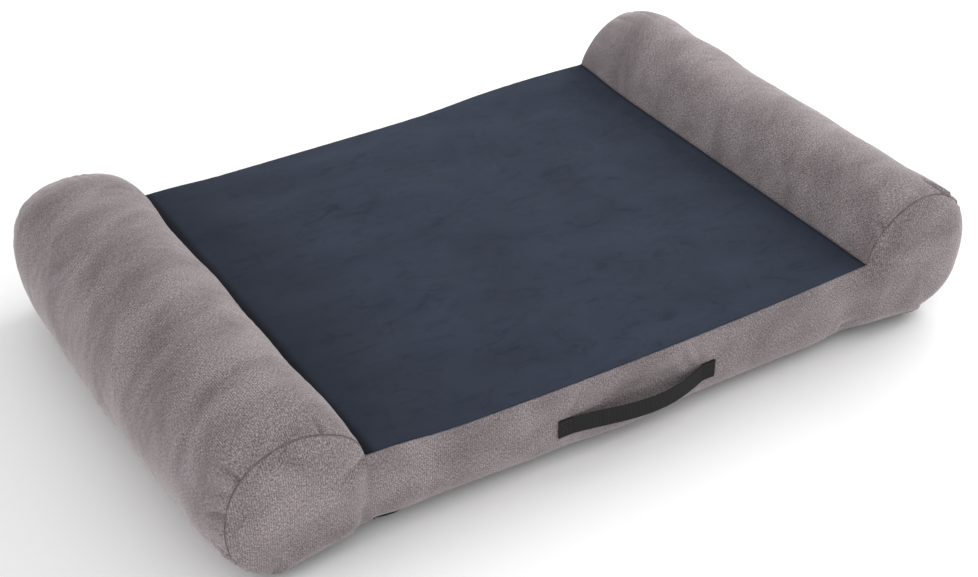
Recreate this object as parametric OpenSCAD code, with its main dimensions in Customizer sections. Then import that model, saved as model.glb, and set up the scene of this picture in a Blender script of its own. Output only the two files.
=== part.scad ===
// Dog mattress: a foam mat with a round bolster along each short side, in one sewn cover.
// A webbing carrying handle is sewn to the front wall, and the back wall opens with a zip.
// Millimetres, +Z up. The origin is on the floor under the middle of the lying surface.
// +X runs from bolster to bolster, and the handle is on the -Y side.

/* [Mat] */
// Lying length between the seams along the two bolsters
lying_length = 733; // [500:1:1000]
// Depth of the mat from its front seam to its back seam, at the corners
mat_depth = 640; // [400:1:900]
// Height of the seam around the lying surface
mat_height = 122; // [95:1:145]
// How far the middle of the lying surface stands above its seam
top_crown = 6; // [0:0.5:20]
// How far the front seam bows out in its middle
front_bow = 5; // [0:0.5:15]
// How far the front and back walls belly out between their seams
wall_bulge = 2.5; // [1:0.5:12]
// Radius of the lower edge of the front and back walls
wall_edge_r = 48; // [20:1:50]

/* [Bolsters] */
// Width of a bolster
bolster_width = 196; // [160:1:240]
// Height of a bolster
bolster_height = 204; // [180:1:260]
// How far a bolster leans over its seam with the lying surface
bolster_overhang = 12.5; // [4:0.5:20]
// How far a bolster is drawn in at its end seams
end_draw = 17; // [4:0.5:30]
// Length over which a bolster is drawn in towards each end seam
draw_run = 78; // [30:1:150]
// How far the round ends of a bolster swell past the end seams
cap_bulge = 13; // [4:0.5:25]
// Radius of the lower edge of the round ends
cap_edge_r = 35; // [20:1:60]

/* [Cover] */
// Thickness of the cover fabric
cover_t = 1.6; // [1:0.1:3]
// Height of the seam that joins the base fabric to the walls
base_seam_height = 10; // [6:0.5:18]
// Width of the turned-up edge of the base fabric
base_edge_run = 25; // [15:1:40]
// Thickness of the inner walls between the mat and the bolsters
divider_t = 1.2; // [0.8:0.1:2]
// Clearance between neighbouring sewn pieces
seam_gap = 0.3; // [0.2:0.05:0.5]

/* [Handle] */
// Length of the handle over its sewn ends
handle_length = 232; // [160:1:300]
// Width of the handle webbing
webbing_width = 25; // [18:0.5:40]
// Thickness of the handle webbing
webbing_t = 1.4; // [1:0.1:2.5]
// How far the handle bows out from the wall
handle_bow = 20; // [17:0.5:40]
// Length of each sewn end
tab_length = 19; // [14:0.5:30]
// Length of each stretch that bends, between a sewn end and the free middle that is gripped
bend_length = 39; // [30:1:45]
// How far the handle sits below the middle of the wall
handle_drop = 3; // [0:0.5:8]
// How far the handle sits to the right of the middle of the wall
handle_offset = 8; // [-40:1:40]

/* [Zip] */
// Distance from each bolster seam to the slot in the back wall
zip_margin = 64.5; // [60:0.5:120]
// Height of the slot in the back wall
zip_slot = 9; // [8.6:0.2:12]
// Width of one zip tape
tape_width = 13; // [10:0.5:18]
// Thickness of a zip tape
tape_t = 0.7; // [0.5:0.05:1]
// Distance from one zip tooth to the next
tooth_pitch = 4; // [3:0.5:8]
// Width of one row of zip teeth
tooth_reach = 2.4; // [1.5:0.1:2.6]
// Thickness of the zip teeth
tooth_t = 1.6; // [1:0.1:2]
// Gap that the slider's web runs in, between the two rows of teeth
tooth_gap = 1.2; // [1:0.1:1.6]
// Length of the slider
slider_length = 12; // [9:0.5:16]
// Length of the puller from its pivot
puller_length = 24; // [16:1:30]
// Width of the puller
puller_width = 6; // [5:0.5:8]

/* [Hidden] */

// Fabric colours
chenille = "#8c8283";
navy_pile = "#343d4b";
black_base = "#202022";
black_webbing = "#2b2b2d";
foam_cream = "#e9e2c8";
fill_white = "#f1f1ee";
zip_metal = "#5a5a5e";

// Places that follow from the driving sizes
seam_x = lying_length / 2;
seam_y = mat_depth / 2;
bolster_rx = bolster_width / 2;
bolster_rz = bolster_height / 2;
bolster_x = seam_x - bolster_overhang + bolster_rx;
low_draw = base_seam_height / 2;
skin = cover_t + seam_gap;
half_gap = seam_gap / 2;
handle_height = mat_height / 2 - handle_drop;
zip_height = mat_height / 2;
zip_length = lying_length - 2 * zip_margin;
// The lower edge stays round only below the zip tape
edge_r = min(wall_edge_r, zip_height - tape_width - tooth_gap / 2);

// The seam with the lying surface as seen from the bolster's axis
seam_dx = (bolster_x - seam_x) / bolster_rx;
seam_dz = (mat_height - bolster_rz) / bolster_rz;
seam_angle = 180 - atan2(seam_dz, seam_dx);
seam_reach = norm([seam_dx, seam_dz]);
mat_fade_angle = 55;
low_fade_angle = 15;
draw_power = 2.2;

// Length over which a panel swells to its full bulge, and over which the walls turn into the
// round ends on each side of the bolster seam
bulge_run = 18;
neck_run = 30;
neck_widening = 40;

// Faces of the panels
cap_columns = 8;
outer_columns = 3;
wall_columns = 14;
turn_rows = 3;
face_rows = 4;
wrap_columns = 20;
wrap_rows = 16;
top_columns = 14;
top_rows = 10;
base_edge_steps = 3;
base_rows = 4;

// Eased step from 0 at a to 1 at b
function ease(a, b, v) = let (s = min(1, max(0, (v - a) / (b - a)))) s * s * (3 - 2 * s);
function mix(a, b, s) = a + (b - a) * s;

// How a bolster's section is drawn in: 0 in its middle, 1 at an end seam
function draw(y) = pow(min(1, max(0, (abs(y) - seam_y + draw_run) / draw_run)), draw_power);
function base_reach(y) = 1 - low_draw * draw(y) / bolster_rz;
function base_angle(y) =
    -asin((bolster_rz - base_seam_height) / (bolster_rz * base_reach(y)));
function near_mat(a) = ease(seam_angle - mat_fade_angle, seam_angle, a);
function near_base(a, y) = ease(low_fade_angle, base_angle(y), a);
// Reach of the bolster's surface in the direction a, as a share of its radii
function reach(a, y) =
    let (m = near_mat(a), b = near_base(a, y))
    1 - (1 - seam_reach) * m
    - draw(y) * (1 - m) * mix(end_draw, low_draw, b) / bolster_rz;
// A point of the right bolster's surface, sunk by depth
function wrap_point(a, y, depth) =
    let (k = reach(a, y))
    [bolster_x + (bolster_rx * k - depth) * cos(a), y, bolster_rz + (bolster_rz * k - depth) * sin(a)];
function base_x(y) = bolster_x + bolster_rx * base_reach(y) * cos(base_angle(y));

// Swell of the front and back panels beyond their seams
function cap_room(x, z) =
    let (dx = (abs(x) - bolster_x) / bolster_rx, dz = (z - bolster_rz) / bolster_rz,
        raw = atan2(dz, dx), a = raw < -90 ? raw + 360 : raw, low = base_angle(seam_y),
        held = min(seam_angle, max(low, a)), beyond = abs(a - held))
    max(0, (reach(held, seam_y) + beyond / neck_widening - norm([dx, dz])) * bolster_rx);
function neck(x) = ease(seam_x - neck_run, seam_x + neck_run, abs(x));
function room(x, z) = mix(max(0, mat_height - z), cap_room(x, z), neck(x));
function lower_turn(x, z) =
    let (r = mix(edge_r, cap_edge_r, neck(x)), d = max(0, r - z),
        corner = base_x(seam_y))
    (r - sqrt(r * r - d * d)) * (1 - ease(corner - draw_run / 2, corner, abs(x)));
function swell(x, z) =
    mix(wall_bulge, cap_bulge, neck(x)) * (1 - exp(-room(x, z) / bulge_run)) - lower_turn(x, z);
function bow_at(x) = front_bow * (1 - pow(min(1, abs(x) / seam_x), 2));
function bow_share(z) = pow(max(0, min(1, (z - base_seam_height) / (mat_height - base_seam_height))), 4);
// Distance of the panel's inner face from the middle of the mat
function panel_y(x, z, bow) =
    seam_y + half_gap + swell(x, z) + (bow ? bow_at(x) * bow_share(z) * (1 - neck(x)) : 0);
function crown(x, y) =
    top_crown * (1 - pow(min(1, abs(x) / seam_x), 4)) * (1 - pow(min(1, abs(y) / seam_y), 4));

// A closed shell between two grids of points with the same rows and columns
module shell(outer, inner) {
    rows = len(outer);
    cols = len(outer[0]);
    n = rows * cols;
    points = [for (g = [outer, inner]) for (row = g) each row];
    function at(r, c, g) = g * n + r * cols + c;
    faces = [
        for (r = [0:rows - 2]) for (c = [0:cols - 2]) each [
            [at(r, c, 0), at(r, c + 1, 0), at(r + 1, c + 1, 0)],
            [at(r, c, 0), at(r + 1, c + 1, 0), at(r + 1, c, 0)],
            [at(r, c, 1), at(r + 1, c + 1, 1), at(r, c + 1, 1)],
            [at(r, c, 1), at(r + 1, c, 1), at(r + 1, c + 1, 1)]],
        for (c = [0:cols - 2]) each [
            [at(0, c, 0), at(0, c, 1), at(0, c + 1, 1)],
            [at(0, c, 0), at(0, c + 1, 1), at(0, c + 1, 0)],
            [at(rows - 1, c, 0), at(rows - 1, c + 1, 1), at(rows - 1, c, 1)],
            [at(rows - 1, c, 0), at(rows - 1, c + 1, 0), at(rows - 1, c + 1, 1)]],
        for (r = [0:rows - 2]) each [
            [at(r, 0, 0), at(r + 1, 0, 1), at(r, 0, 1)],
            [at(r, 0, 0), at(r + 1, 0, 0), at(r + 1, 0, 1)],
            [at(r, cols - 1, 0), at(r, cols - 1, 1), at(r + 1, cols - 1, 1)],
            [at(r, cols - 1, 0), at(r + 1, cols - 1, 1), at(r + 1, cols - 1, 0)]]];
    polyhedron(points, faces);
}

// A closed solid through rings that have as many points each
module loft(rings) {
    count = len(rings);
    n = len(rings[0]);
    points = [for (ring = rings) each ring];
    faces = [
        for (r = [0:count - 2]) for (c = [0:n - 1]) each [
            [r * n + c, r * n + (c + 1) % n, (r + 1) * n + (c + 1) % n],
            [r * n + c, (r + 1) * n + (c + 1) % n, (r + 1) * n + c]],
        [for (c = [n - 1:-1:0]) c],
        [for (c = [0:n - 1]) (count - 1) * n + c]];
    polyhedron(points, faces);
}

// Lying surface: the navy panel between the bolsters
function top_row_y(j, rows) = (seam_y - half_gap) * sin(90 * (2 * j / rows - 1));
module top_panel() {
    function grid(depth) = [for (j = [0:top_rows]) [for (i = [0:top_columns])
        let (x = (seam_x - seam_gap) * (2 * i / top_columns - 1), y = top_row_y(j, top_rows))
        [x, y - (j == 0 ? bow_at(x) : 0), mat_height - depth + crown(x, y)]]];
    color(navy_pile) shell(grid(cover_t), grid(0));
}

// Bolster cover: one piece that runs from the lying surface over the bolster to the base seam
function wrap_rows_y() = [for (j = [0:wrap_rows])
    (seam_y - half_gap) * sin(90 * (2 * j / wrap_rows - 1))];
function wrap_grid(depth) = [for (y = wrap_rows_y()) [for (i = [0:wrap_columns])
    wrap_point(mix(seam_angle, base_angle(y), i / wrap_columns), y, depth)]];

module right_bolster_cover() {
    color(chenille) shell(wrap_grid(cover_t), wrap_grid(0));
}

module left_bolster_cover() {
    mirror([1, 0, 0]) right_bolster_cover();
}

// Front panel and back panel: the wall of the mat and both round ends, cut in one piece
function rim(a) = let (p = wrap_point(a, seam_y, 0)) [p[0], p[2]];
tip_angle = 6;
function cap_top(i) = rim(mix(tip_angle, seam_angle, i / cap_columns));
function cap_low(i) =
    i <= outer_columns ? rim(mix(-tip_angle, base_angle(seam_y), i / outer_columns))
    : [cap_top(i)[0], base_seam_height];
panel_top = [
    for (i = [0:cap_columns]) [-cap_top(i)[0], cap_top(i)[1]],
    for (i = [1:wall_columns - 1]) [seam_x * (2 * i / wall_columns - 1), mat_height],
    for (i = [cap_columns:-1:0]) cap_top(i)];
panel_low = [
    for (i = [0:cap_columns]) [-cap_low(i)[0], cap_low(i)[1]],
    for (i = [1:wall_columns - 1]) [seam_x * (2 * i / wall_columns - 1), base_seam_height],
    for (i = [cap_columns:-1:0]) cap_low(i)];
turn_angle = asin(1 - base_seam_height / edge_r);
turn_share = (edge_r - base_seam_height) / (mat_height - base_seam_height);
row_shares = [
    for (j = [0:turn_rows - 1])
        turn_share * (1 - sin(turn_angle * (1 - j / turn_rows)) / sin(turn_angle)),
    for (j = [0:face_rows]) mix(turn_share, 1, sin(90 * j / face_rows))];
function panel_grid(depth, bow) = [for (share = row_shares) [for (i = [0:len(panel_top) - 1])
    let (p = mix(panel_low[i], panel_top[i], share))
    [p[0], -panel_y(p[0], p[1], bow) - depth, p[1]]]];

module front_panel() {
    color(chenille) shell(panel_grid(0, true), panel_grid(cover_t, true));
}

module back_panel() {
    overrun = 2 * cap_bulge;
    color(chenille) difference() {
        mirror([0, 1, 0]) shell(panel_grid(0, false), panel_grid(cover_t, false));
        translate([-zip_length / 2, seam_y - overrun, zip_height - zip_slot / 2])
            cube([zip_length, 2 * overrun, zip_slot]);
    }
}

// Base panel: the black underside, turned up all round to the base seam. Its columns stand where
// those of the front and back panels do.
base_shares = [for (i = [outer_columns:len(panel_low) - 1 - outer_columns])
    panel_low[i][0] / base_x(seam_y)];
base_inner_share = (seam_y - base_edge_run) / seam_y;
base_row_shares = [
    for (i = [0:base_edge_steps - 1]) mix(-1, -base_inner_share, i / base_edge_steps),
    for (i = [0:base_rows]) base_inner_share * (2 * i / base_rows - 1),
    for (i = [1:base_edge_steps]) mix(base_inner_share, 1, i / base_edge_steps)];
function rise(share, total) = pow(max(0, 1 - total * (1 - abs(share)) / base_edge_run), 2);
function base_grid(lift) = [for (v = base_row_shares) [for (u = base_shares)
    let (y = v * seam_y, x = u * (base_x(y) - seam_gap - cover_t * cos(base_angle(y))),
        edge = panel_y(u * base_x(seam_y), base_seam_height, false) - 2 * seam_gap,
        a = rise(u, base_x(0)), b = rise(v, seam_y))
    [x, v * edge, base_seam_height * (a + b - a * b) + lift]]];

module base_panel() {
    color(black_base) shell(base_grid(cover_t), base_grid(0));
}

// Outline of the mat across its depth, from which the foam and the dividers are made
edge_points = 5;
zip_y = panel_y(0, zip_height + tooth_gap / 2 + tape_width, false) - seam_gap;
plate_t = 1;
// The foam lies this much lower than the seam gap under the crowned panel
crown_clear = 0.6;
mat_front = -seam_y + seam_gap;
mat_back = min(seam_y - seam_gap, zip_y - tape_t - plate_t - 2 * seam_gap);
function mat_ring(x, tops) =
    [for (i = [tops:-1:0]) let (y = top_row_y(i, tops))
        [x, min(mat_back, max(mat_front, y)), mat_height - skin - crown_clear + crown(x, y)],
    for (i = [0:edge_points]) let (a = 90 * i / edge_points)
        [x, mat_front + edge_r * (1 - cos(a)), skin + edge_r * (1 - sin(a))],
    for (i = [edge_points:-1:0]) let (a = 90 * i / edge_points)
        [x, mat_back - edge_r * (1 - cos(a)), skin + edge_r * (1 - sin(a))]];

module right_divider() {
    color(black_base) loft([for (x = [0, divider_t]) mat_ring(seam_x + seam_gap + x, 1)]);
}

module left_divider() {
    mirror([1, 0, 0]) right_divider();
}

// Foam core: one slab of foam under the lying surface
module foam_core() {
    color(foam_cream) loft([for (i = [0:top_columns])
        mat_ring((seam_x - seam_gap) * (2 * i / top_columns - 1), top_rows)]);
}

// Bolster fill: the loose filling, flat against the divider and on the base
fill_sides = wrap_columns / 2;
fill_stations = wrap_rows / 2;
// How far each end ring stands out as a share of the swell, and its size
fill_end_shares = [[0.27, 0.88], [0.54, 0.7], [0.77, 0.45]];
module right_bolster_fill() {
    inner_x = seam_x + divider_t + 2 * seam_gap;
    lift = base_seam_height + seam_gap;
    turn = base_edge_run + base_seam_height;
    round_r = base_edge_run / 2;
    function side_point(i, y) =
        let (p = wrap_point(mix(seam_angle, base_angle(y), i / fill_sides), y, skin))
        [max(inner_x, p[0]), y, p[2]];
    function ring(y) =
        let (bottom = skin + lift * ease(seam_y - turn, seam_y - skin, abs(y)))
        [for (i = [0:fill_sides - 1]) side_point(i, y), side_point(fill_sides - 1 / 2, y),
        [bolster_x + round_r, y, bottom], [inner_x + neck_run, y, bottom],
        [inner_x, y, bottom + neck_run]];
    function shrunk(points, y, s) = [for (p = points)
        [bolster_x + (p[0] - bolster_x) * s, y, bolster_rz + (p[2] - bolster_rz) * s]];
    end = seam_y - half_gap;
    rings = [
        for (i = [2:-1:0]) let (e = fill_end_shares[i])
            shrunk(ring(-end), -end - cap_bulge * e[0], e[1]),
        for (i = [0:fill_stations]) ring(end * sin(90 * (2 * i / fill_stations - 1))),
        for (e = fill_end_shares) shrunk(ring(end), end + cap_bulge * e[0], e[1])];
    color(fill_white) loft(rings);
}

module left_bolster_fill() {
    mirror([1, 0, 0]) right_bolster_fill();
}

// Handle: one length of webbing whose ends are folded under and sewn to the front wall
tab_y = seam_y + half_gap + cover_t + wall_bulge + half_gap
    + front_bow * bow_share(handle_height + webbing_width / 2);
strap_run = handle_length - 2 * tab_length;
strap_power = 1.3;
strap_steps = 24;
grip_from_share = (bend_length + half_gap) / strap_run;
function strap_out(s) = handle_bow * pow(sin(180 * s), strap_power);

// The free strap between two shares of its run
module strap(from, to) {
    steps = ceil(strap_steps * (to - from));
    inner = [for (i = [0:steps]) let (s = mix(from, to, i / steps))
        [handle_offset + strap_run * (s - 1 / 2), -tab_y - webbing_t - strap_out(s)]];
    outer = [for (i = [steps:-1:0]) inner[i] - [0, webbing_t]];
    color(black_webbing) translate([0, 0, handle_height - webbing_width / 2])
        linear_extrude(webbing_width) polygon(concat(inner, outer));
}

web_to_share = (bend_length - half_gap) / strap_run;
module handle_grip() {
    strap(grip_from_share, 1 - grip_from_share);
}

module handle_left_web() {
    strap(0, web_to_share);
}

module handle_right_web() {
    strap(1 - web_to_share, 1);
}

// A sewn end: two layers, folded round at the outer edge
module handle_tab(side) {
    color(black_webbing)
        translate([handle_offset + side * strap_run / 2, -tab_y, handle_height - webbing_width / 2])
        scale([side, -1, 1]) linear_extrude(webbing_width) {
            square([tab_length - webbing_t, 2 * webbing_t]);
            translate([tab_length - webbing_t, webbing_t]) circle(webbing_t, $fn = 24);
        }
}

module handle_left_tab() {
    handle_tab(-1);
}

module handle_right_tab() {
    handle_tab(1);
}

// Stitches of a sewn end: a box with a cross in it
stitch_length = 2.4;
stitch_pitch = 3.6;
stitch_t = 0.5;
stitch_inset = 2.6;
module stitch_line(from, to) {
    span = norm(to - from);
    count = max(1, floor(span / stitch_pitch));
    for (i = [0:count - 1])
        translate(mix(from, to, (i + 1 / 2) / count))
            rotate(atan2(to[1] - from[1], to[0] - from[0]))
            translate([-stitch_length / 2, -stitch_t / 2]) square([stitch_length, stitch_t]);
}

module tab_stitching(side) {
    w = tab_length - 2 * stitch_inset;
    h = webbing_width - 2 * stitch_inset;
    middle = handle_offset + side * (strap_run + tab_length) / 2;
    corners = [[-w, -h] / 2, [w, -h] / 2, [w, h] / 2, [-w, h] / 2];
    away = stitch_length / norm([w, h]);
    color(black_base) translate([middle, -tab_y - 2 * webbing_t, handle_height])
        rotate([90, 0, 0]) linear_extrude(stitch_t) {
            for (i = [0:3]) stitch_line(corners[i], corners[(i + 1) % 4]);
            for (i = [0, 1], half = [0, 1])
                stitch_line(corners[i + 2 * half] * (1 - away), corners[i + 2 * half] * away);
        }
}

module handle_left_stitching() {
    tab_stitching(-1);
}

module handle_right_stitching() {
    tab_stitching(1);
}

// Zip: two tapes sewn behind the slot, a row of teeth on each, end stops, slider and puller.
// The rows stand apart by the width of the slider's web.
tape_over = 8;
stop_length = 3;
stop_inset = 2;
spine_t = 0.8;
module zip_tape(side) {
    color(black_base) translate([0, 0, zip_height]) scale([1, 1, side])
        translate([-zip_length / 2 - tape_over, zip_y - tape_t, tooth_gap / 2])
        cube([zip_length + 2 * tape_over, tape_t, tape_width]);
}

module zip_upper_tape() {
    zip_tape(1);
}

module zip_lower_tape() {
    zip_tape(-1);
}

module zip_teeth(side) {
    half = zip_length / 2 - stop_inset - stop_length - seam_gap;
    count = floor(2 * half / tooth_pitch);
    pitch = 2 * half / count;
    tip = tooth_gap / 2;
    root = tip + tooth_reach;
    color(zip_metal) translate([0, zip_y, zip_height]) scale([1, 1, side])
        mirror([0, 1, 0]) rotate([90, 0, 0]) linear_extrude(tooth_t) polygon([
            [-half, root], for (i = [0:count - 1]) each let (x = -half + pitch * i)
                [[x, root - spine_t], [x + pitch / 4, root - spine_t],
                [x + pitch / 4, tip], [x + pitch * 3 / 4, tip],
                [x + pitch * 3 / 4, root - spine_t]],
            [half, root - spine_t], [half, root]]);
}

module zip_upper_teeth() {
    zip_teeth(1);
}

module zip_lower_teeth() {
    zip_teeth(-1);
}

module zip_end_stops() {
    h = tooth_gap + 2 * tooth_reach;
    color(zip_metal) for (side = [-1, 1])
        translate([side * (zip_length / 2 - stop_inset - stop_length / 2) - stop_length / 2,
            zip_y, zip_height - h / 2]) cube([stop_length, tooth_t, h]);
}

// The slider stands at the right end, where the zip is closed
stop_clearance = 1;
slider_rest_x = zip_length / 2 - stop_inset - stop_length - stop_clearance - slider_length / 2;
wing_t = 0.8;
wing_share = 0.6;
nose_share = 0.7;
web_length = 5;
bridge_t = 0.8;
bridge_w = 1.8;
bridge_half = 4.2;
pin_r = 0.5;
arm_w = 1;
slider_front = zip_y + tooth_t + seam_gap;
pin_y = slider_front + plate_t + seam_gap + pin_r;
module zip_slider() {
    back = zip_y - tape_t - seam_gap - plate_t;
    wing_in = tooth_gap / 2 + tooth_reach + seam_gap;
    h = wing_in + wing_t;
    l = slider_length / 2;
    wing_start = l * wing_share;
    room_in = seam_gap + 2 * pin_r + seam_gap;
    nose = [[-l, -h * nose_share], [-wing_start, -h], [l, -h], [l, h], [-wing_start, h],
        [-l, h * nose_share]];
    color(zip_metal) translate([slider_rest_x, 0, zip_height]) {
        for (y = [back, slider_front])
            translate([0, y + plate_t, 0]) rotate([90, 0, 0]) linear_extrude(plate_t) polygon(nose);
        for (side = [-1, 1]) scale([1, 1, side])
            translate([-wing_start, zip_y + seam_gap, wing_in])
            cube([l + wing_start, slider_front - zip_y - seam_gap + plate_t / 2, wing_t]);
        translate([l - web_length, back + plate_t / 2, -tooth_gap / 2 + seam_gap])
            cube([web_length, slider_front - back, tooth_gap - 2 * seam_gap]);
        translate([0, slider_front + plate_t / 2, -bridge_w / 2]) linear_extrude(bridge_w)
            difference() {
                translate([-bridge_half, 0])
                    square([2 * bridge_half, plate_t / 2 + room_in + bridge_t]);
                translate([-bridge_half + bridge_t, plate_t / 2 - half_gap])
                    square([2 * (bridge_half - bridge_t), room_in + half_gap]);
            }
    }
}

// Puller: a crossbar under the slider's bridge, two arms and a tab that lies along the zip
module zip_puller() {
    arm_in = bridge_w / 2 + seam_gap;
    tab_start = bridge_half + 2 * seam_gap + arm_w;
    bar = 2 * (arm_in + arm_w);
    tip_r = puller_width / 2;
    color(zip_metal) translate([slider_rest_x, pin_y, zip_height]) {
        translate([0, 0, -bar / 2]) cylinder(h = bar, r = pin_r, $fn = 24);
        for (side = [-1, 1]) scale([1, 1, side])
            translate([-tab_start - arm_w, -pin_r, arm_in]) cube([tab_start + arm_w, 2 * pin_r, arm_w]);
        translate([0, pin_r, 0]) rotate([90, 0, 0]) linear_extrude(2 * pin_r) {
            translate([-puller_length + tip_r, -tip_r])
                square([puller_length - tip_r - tab_start, puller_width]);
            translate([-puller_length + tip_r, 0]) circle(tip_r, $fn = 48);
        }
    }
}

top_panel();
left_bolster_cover();
right_bolster_cover();
front_panel();
back_panel();
base_panel();
left_divider();
right_divider();
foam_core();
left_bolster_fill();
right_bolster_fill();
handle_left_tab();
handle_right_tab();
handle_left_web();
handle_right_web();
handle_grip();
handle_left_stitching();
handle_right_stitching();
zip_upper_tape();
zip_lower_tape();
zip_upper_teeth();
zip_lower_teeth();
zip_end_stops();
zip_slider();
zip_puller();
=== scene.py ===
# Dog mattress: a foam mat with a round bolster along each short side, in one sewn cover. A webbing
# handle is sewn to the front wall, and the back wall opens with a zip. Metres, +Z up: the frame of
# the CAD part, whose origin is on the floor under the middle of the lying surface.
import math

import bpy
import numpy as np
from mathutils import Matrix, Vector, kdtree


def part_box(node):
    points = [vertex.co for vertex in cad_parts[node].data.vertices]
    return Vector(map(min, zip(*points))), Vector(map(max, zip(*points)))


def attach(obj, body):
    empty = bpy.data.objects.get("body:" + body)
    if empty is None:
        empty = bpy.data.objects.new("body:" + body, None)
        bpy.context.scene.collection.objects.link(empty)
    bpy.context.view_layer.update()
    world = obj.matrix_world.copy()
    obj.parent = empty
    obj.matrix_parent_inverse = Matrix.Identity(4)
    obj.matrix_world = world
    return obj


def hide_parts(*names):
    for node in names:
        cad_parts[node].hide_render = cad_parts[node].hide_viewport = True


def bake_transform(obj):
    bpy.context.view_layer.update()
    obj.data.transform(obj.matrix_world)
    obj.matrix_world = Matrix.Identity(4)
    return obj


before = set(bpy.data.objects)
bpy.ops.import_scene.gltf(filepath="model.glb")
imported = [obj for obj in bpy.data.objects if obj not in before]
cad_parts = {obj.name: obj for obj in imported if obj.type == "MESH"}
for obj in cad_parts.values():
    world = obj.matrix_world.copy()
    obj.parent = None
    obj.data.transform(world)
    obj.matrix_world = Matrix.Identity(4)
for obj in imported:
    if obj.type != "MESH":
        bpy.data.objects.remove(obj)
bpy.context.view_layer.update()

# ---- Shape of the sewn cover ----
# The cover is cut from six pieces of cloth, and its seams and the filling behind them give the
# bed its form. The cloth, the foam and the fill take their points from this section's functions.
SEAM_GAP = 0.0003
COVER_T = 0.0016
TOP_CROWN = 0.006
FRONT_BOW = 0.005
WALL_BULGE = 0.0025 + COVER_T
CAP_BULGE = 0.013 + COVER_T
BULGE_RUN = 0.018
WALL_EDGE_R = 0.0474
CAP_EDGE_R = 0.035
BASE_SEAM_Z = 0.010
BASE_EDGE_RUN = 0.025
NECK_RUN = 0.030
NECK_WIDENING = math.radians(40)
LOW_DRAW = 0.005
DRAW_RUN = 0.078
DRAW_POWER = 2.2
# How far each end of a bolster is drawn in by its seam: (side, end), left and front are -1
END_DRAW = {(-1, -1): 0.023, (1, -1): 0.013, (-1, 1): 0.017, (1, 1): 0.017}

top_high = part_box("top_panel")[1]
SEAM_X = top_high.x + SEAM_GAP
SEAM_Y = top_high.y + SEAM_GAP / 2
MAT_HEIGHT = top_high.z - TOP_CROWN
bolster_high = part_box("right_bolster_cover")[1]
BOLSTER_RX = 0.098
BOLSTER_RZ = bolster_high.z / 2
BOLSTER_X = bolster_high.x - BOLSTER_RX

seam_dx = (BOLSTER_X - SEAM_X) / BOLSTER_RX
seam_dz = (MAT_HEIGHT - BOLSTER_RZ) / BOLSTER_RZ
SEAM_ANGLE = math.pi - math.atan2(seam_dz, seam_dx)
SEAM_REACH = math.hypot(seam_dx, seam_dz)
MAT_FADE = math.radians(55)
LOW_FADE = math.radians(15)
WRAP_LENGTH = 0.404


def mix(a, b, share):
    return a + (b - a) * share


def ease(low, high, v):
    """Eased step from 0 at low to 1 at high."""
    share = np.clip((v - low) / (high - low), 0, 1)
    return share * share * (3 - 2 * share)


def stack(*parts):
    return np.stack(np.broadcast_arrays(*parts), axis=-1)


def draw(y):
    return np.clip((np.abs(y) - SEAM_Y + DRAW_RUN) / DRAW_RUN, 0, 1) ** DRAW_POWER


def end_draw(side, y):
    front = np.where(side < 0, END_DRAW[-1, -1], END_DRAW[1, -1])
    back = np.where(side < 0, END_DRAW[-1, 1], END_DRAW[1, 1])
    return np.where(y < 0, front, back)


def base_reach(y):
    return 1 - LOW_DRAW * draw(y) / BOLSTER_RZ


def base_angle(y):
    return -np.arcsin((BOLSTER_RZ - BASE_SEAM_Z) / (BOLSTER_RZ * base_reach(y)))


def base_x(y):
    return BOLSTER_X + BOLSTER_RX * base_reach(y) * np.cos(base_angle(y))


def reach(side, a, y):
    """Reach of a bolster's surface in the direction a, as a share of its radii."""
    mat = ease(SEAM_ANGLE - MAT_FADE, SEAM_ANGLE, a)
    low = ease(LOW_FADE, base_angle(y), a)
    drawn = draw(y) * (1 - mat) * mix(end_draw(side, y), LOW_DRAW, low) / BOLSTER_RZ
    return 1 - (1 - SEAM_REACH) * mat - drawn


def wrap_point(side, a, y, sunk=0.0):
    k = reach(side, a, y)
    return stack(side * (BOLSTER_X + (BOLSTER_RX * k - sunk) * np.cos(a)), y,
                 BOLSTER_RZ + (BOLSTER_RZ * k - sunk) * np.sin(a))


def cap_angle(x, z):
    a = np.arctan2((z - BOLSTER_RZ) / BOLSTER_RZ, (np.abs(x) - BOLSTER_X) / BOLSTER_RX)
    return np.where(a < -math.pi / 2, a + 2 * math.pi, a)


def cap_room(x, z, end):
    """Distance inwards from the round seam of a bolster's end."""
    a = cap_angle(x, z)
    held = np.clip(a, base_angle(SEAM_Y), SEAM_ANGLE)
    radius = np.hypot((np.abs(x) - BOLSTER_X) / BOLSTER_RX, (z - BOLSTER_RZ) / BOLSTER_RZ)
    widened = reach(np.sign(x), held, end * SEAM_Y) + np.abs(a - held) / NECK_WIDENING
    return np.maximum(0, (widened - radius) * BOLSTER_RX)


def neck(x):
    return ease(SEAM_X - NECK_RUN, SEAM_X + NECK_RUN, np.abs(x))


def room(x, z, end):
    """Distance of a point of the front or back panel from that panel's upper seam."""
    return mix(np.maximum(0, MAT_HEIGHT - z), cap_room(x, z, end), neck(x))


def lower_turn(x, z):
    r = mix(WALL_EDGE_R, CAP_EDGE_R, neck(x))
    d = np.maximum(0, r - z)
    corner = base_x(SEAM_Y)
    return (r - np.sqrt(r * r - d * d)) * (1 - ease(corner - DRAW_RUN / 2, corner, np.abs(x)))


def bow_at(x):
    return FRONT_BOW * (1 - np.minimum(1, np.abs(x) / SEAM_X) ** 2)


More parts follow.
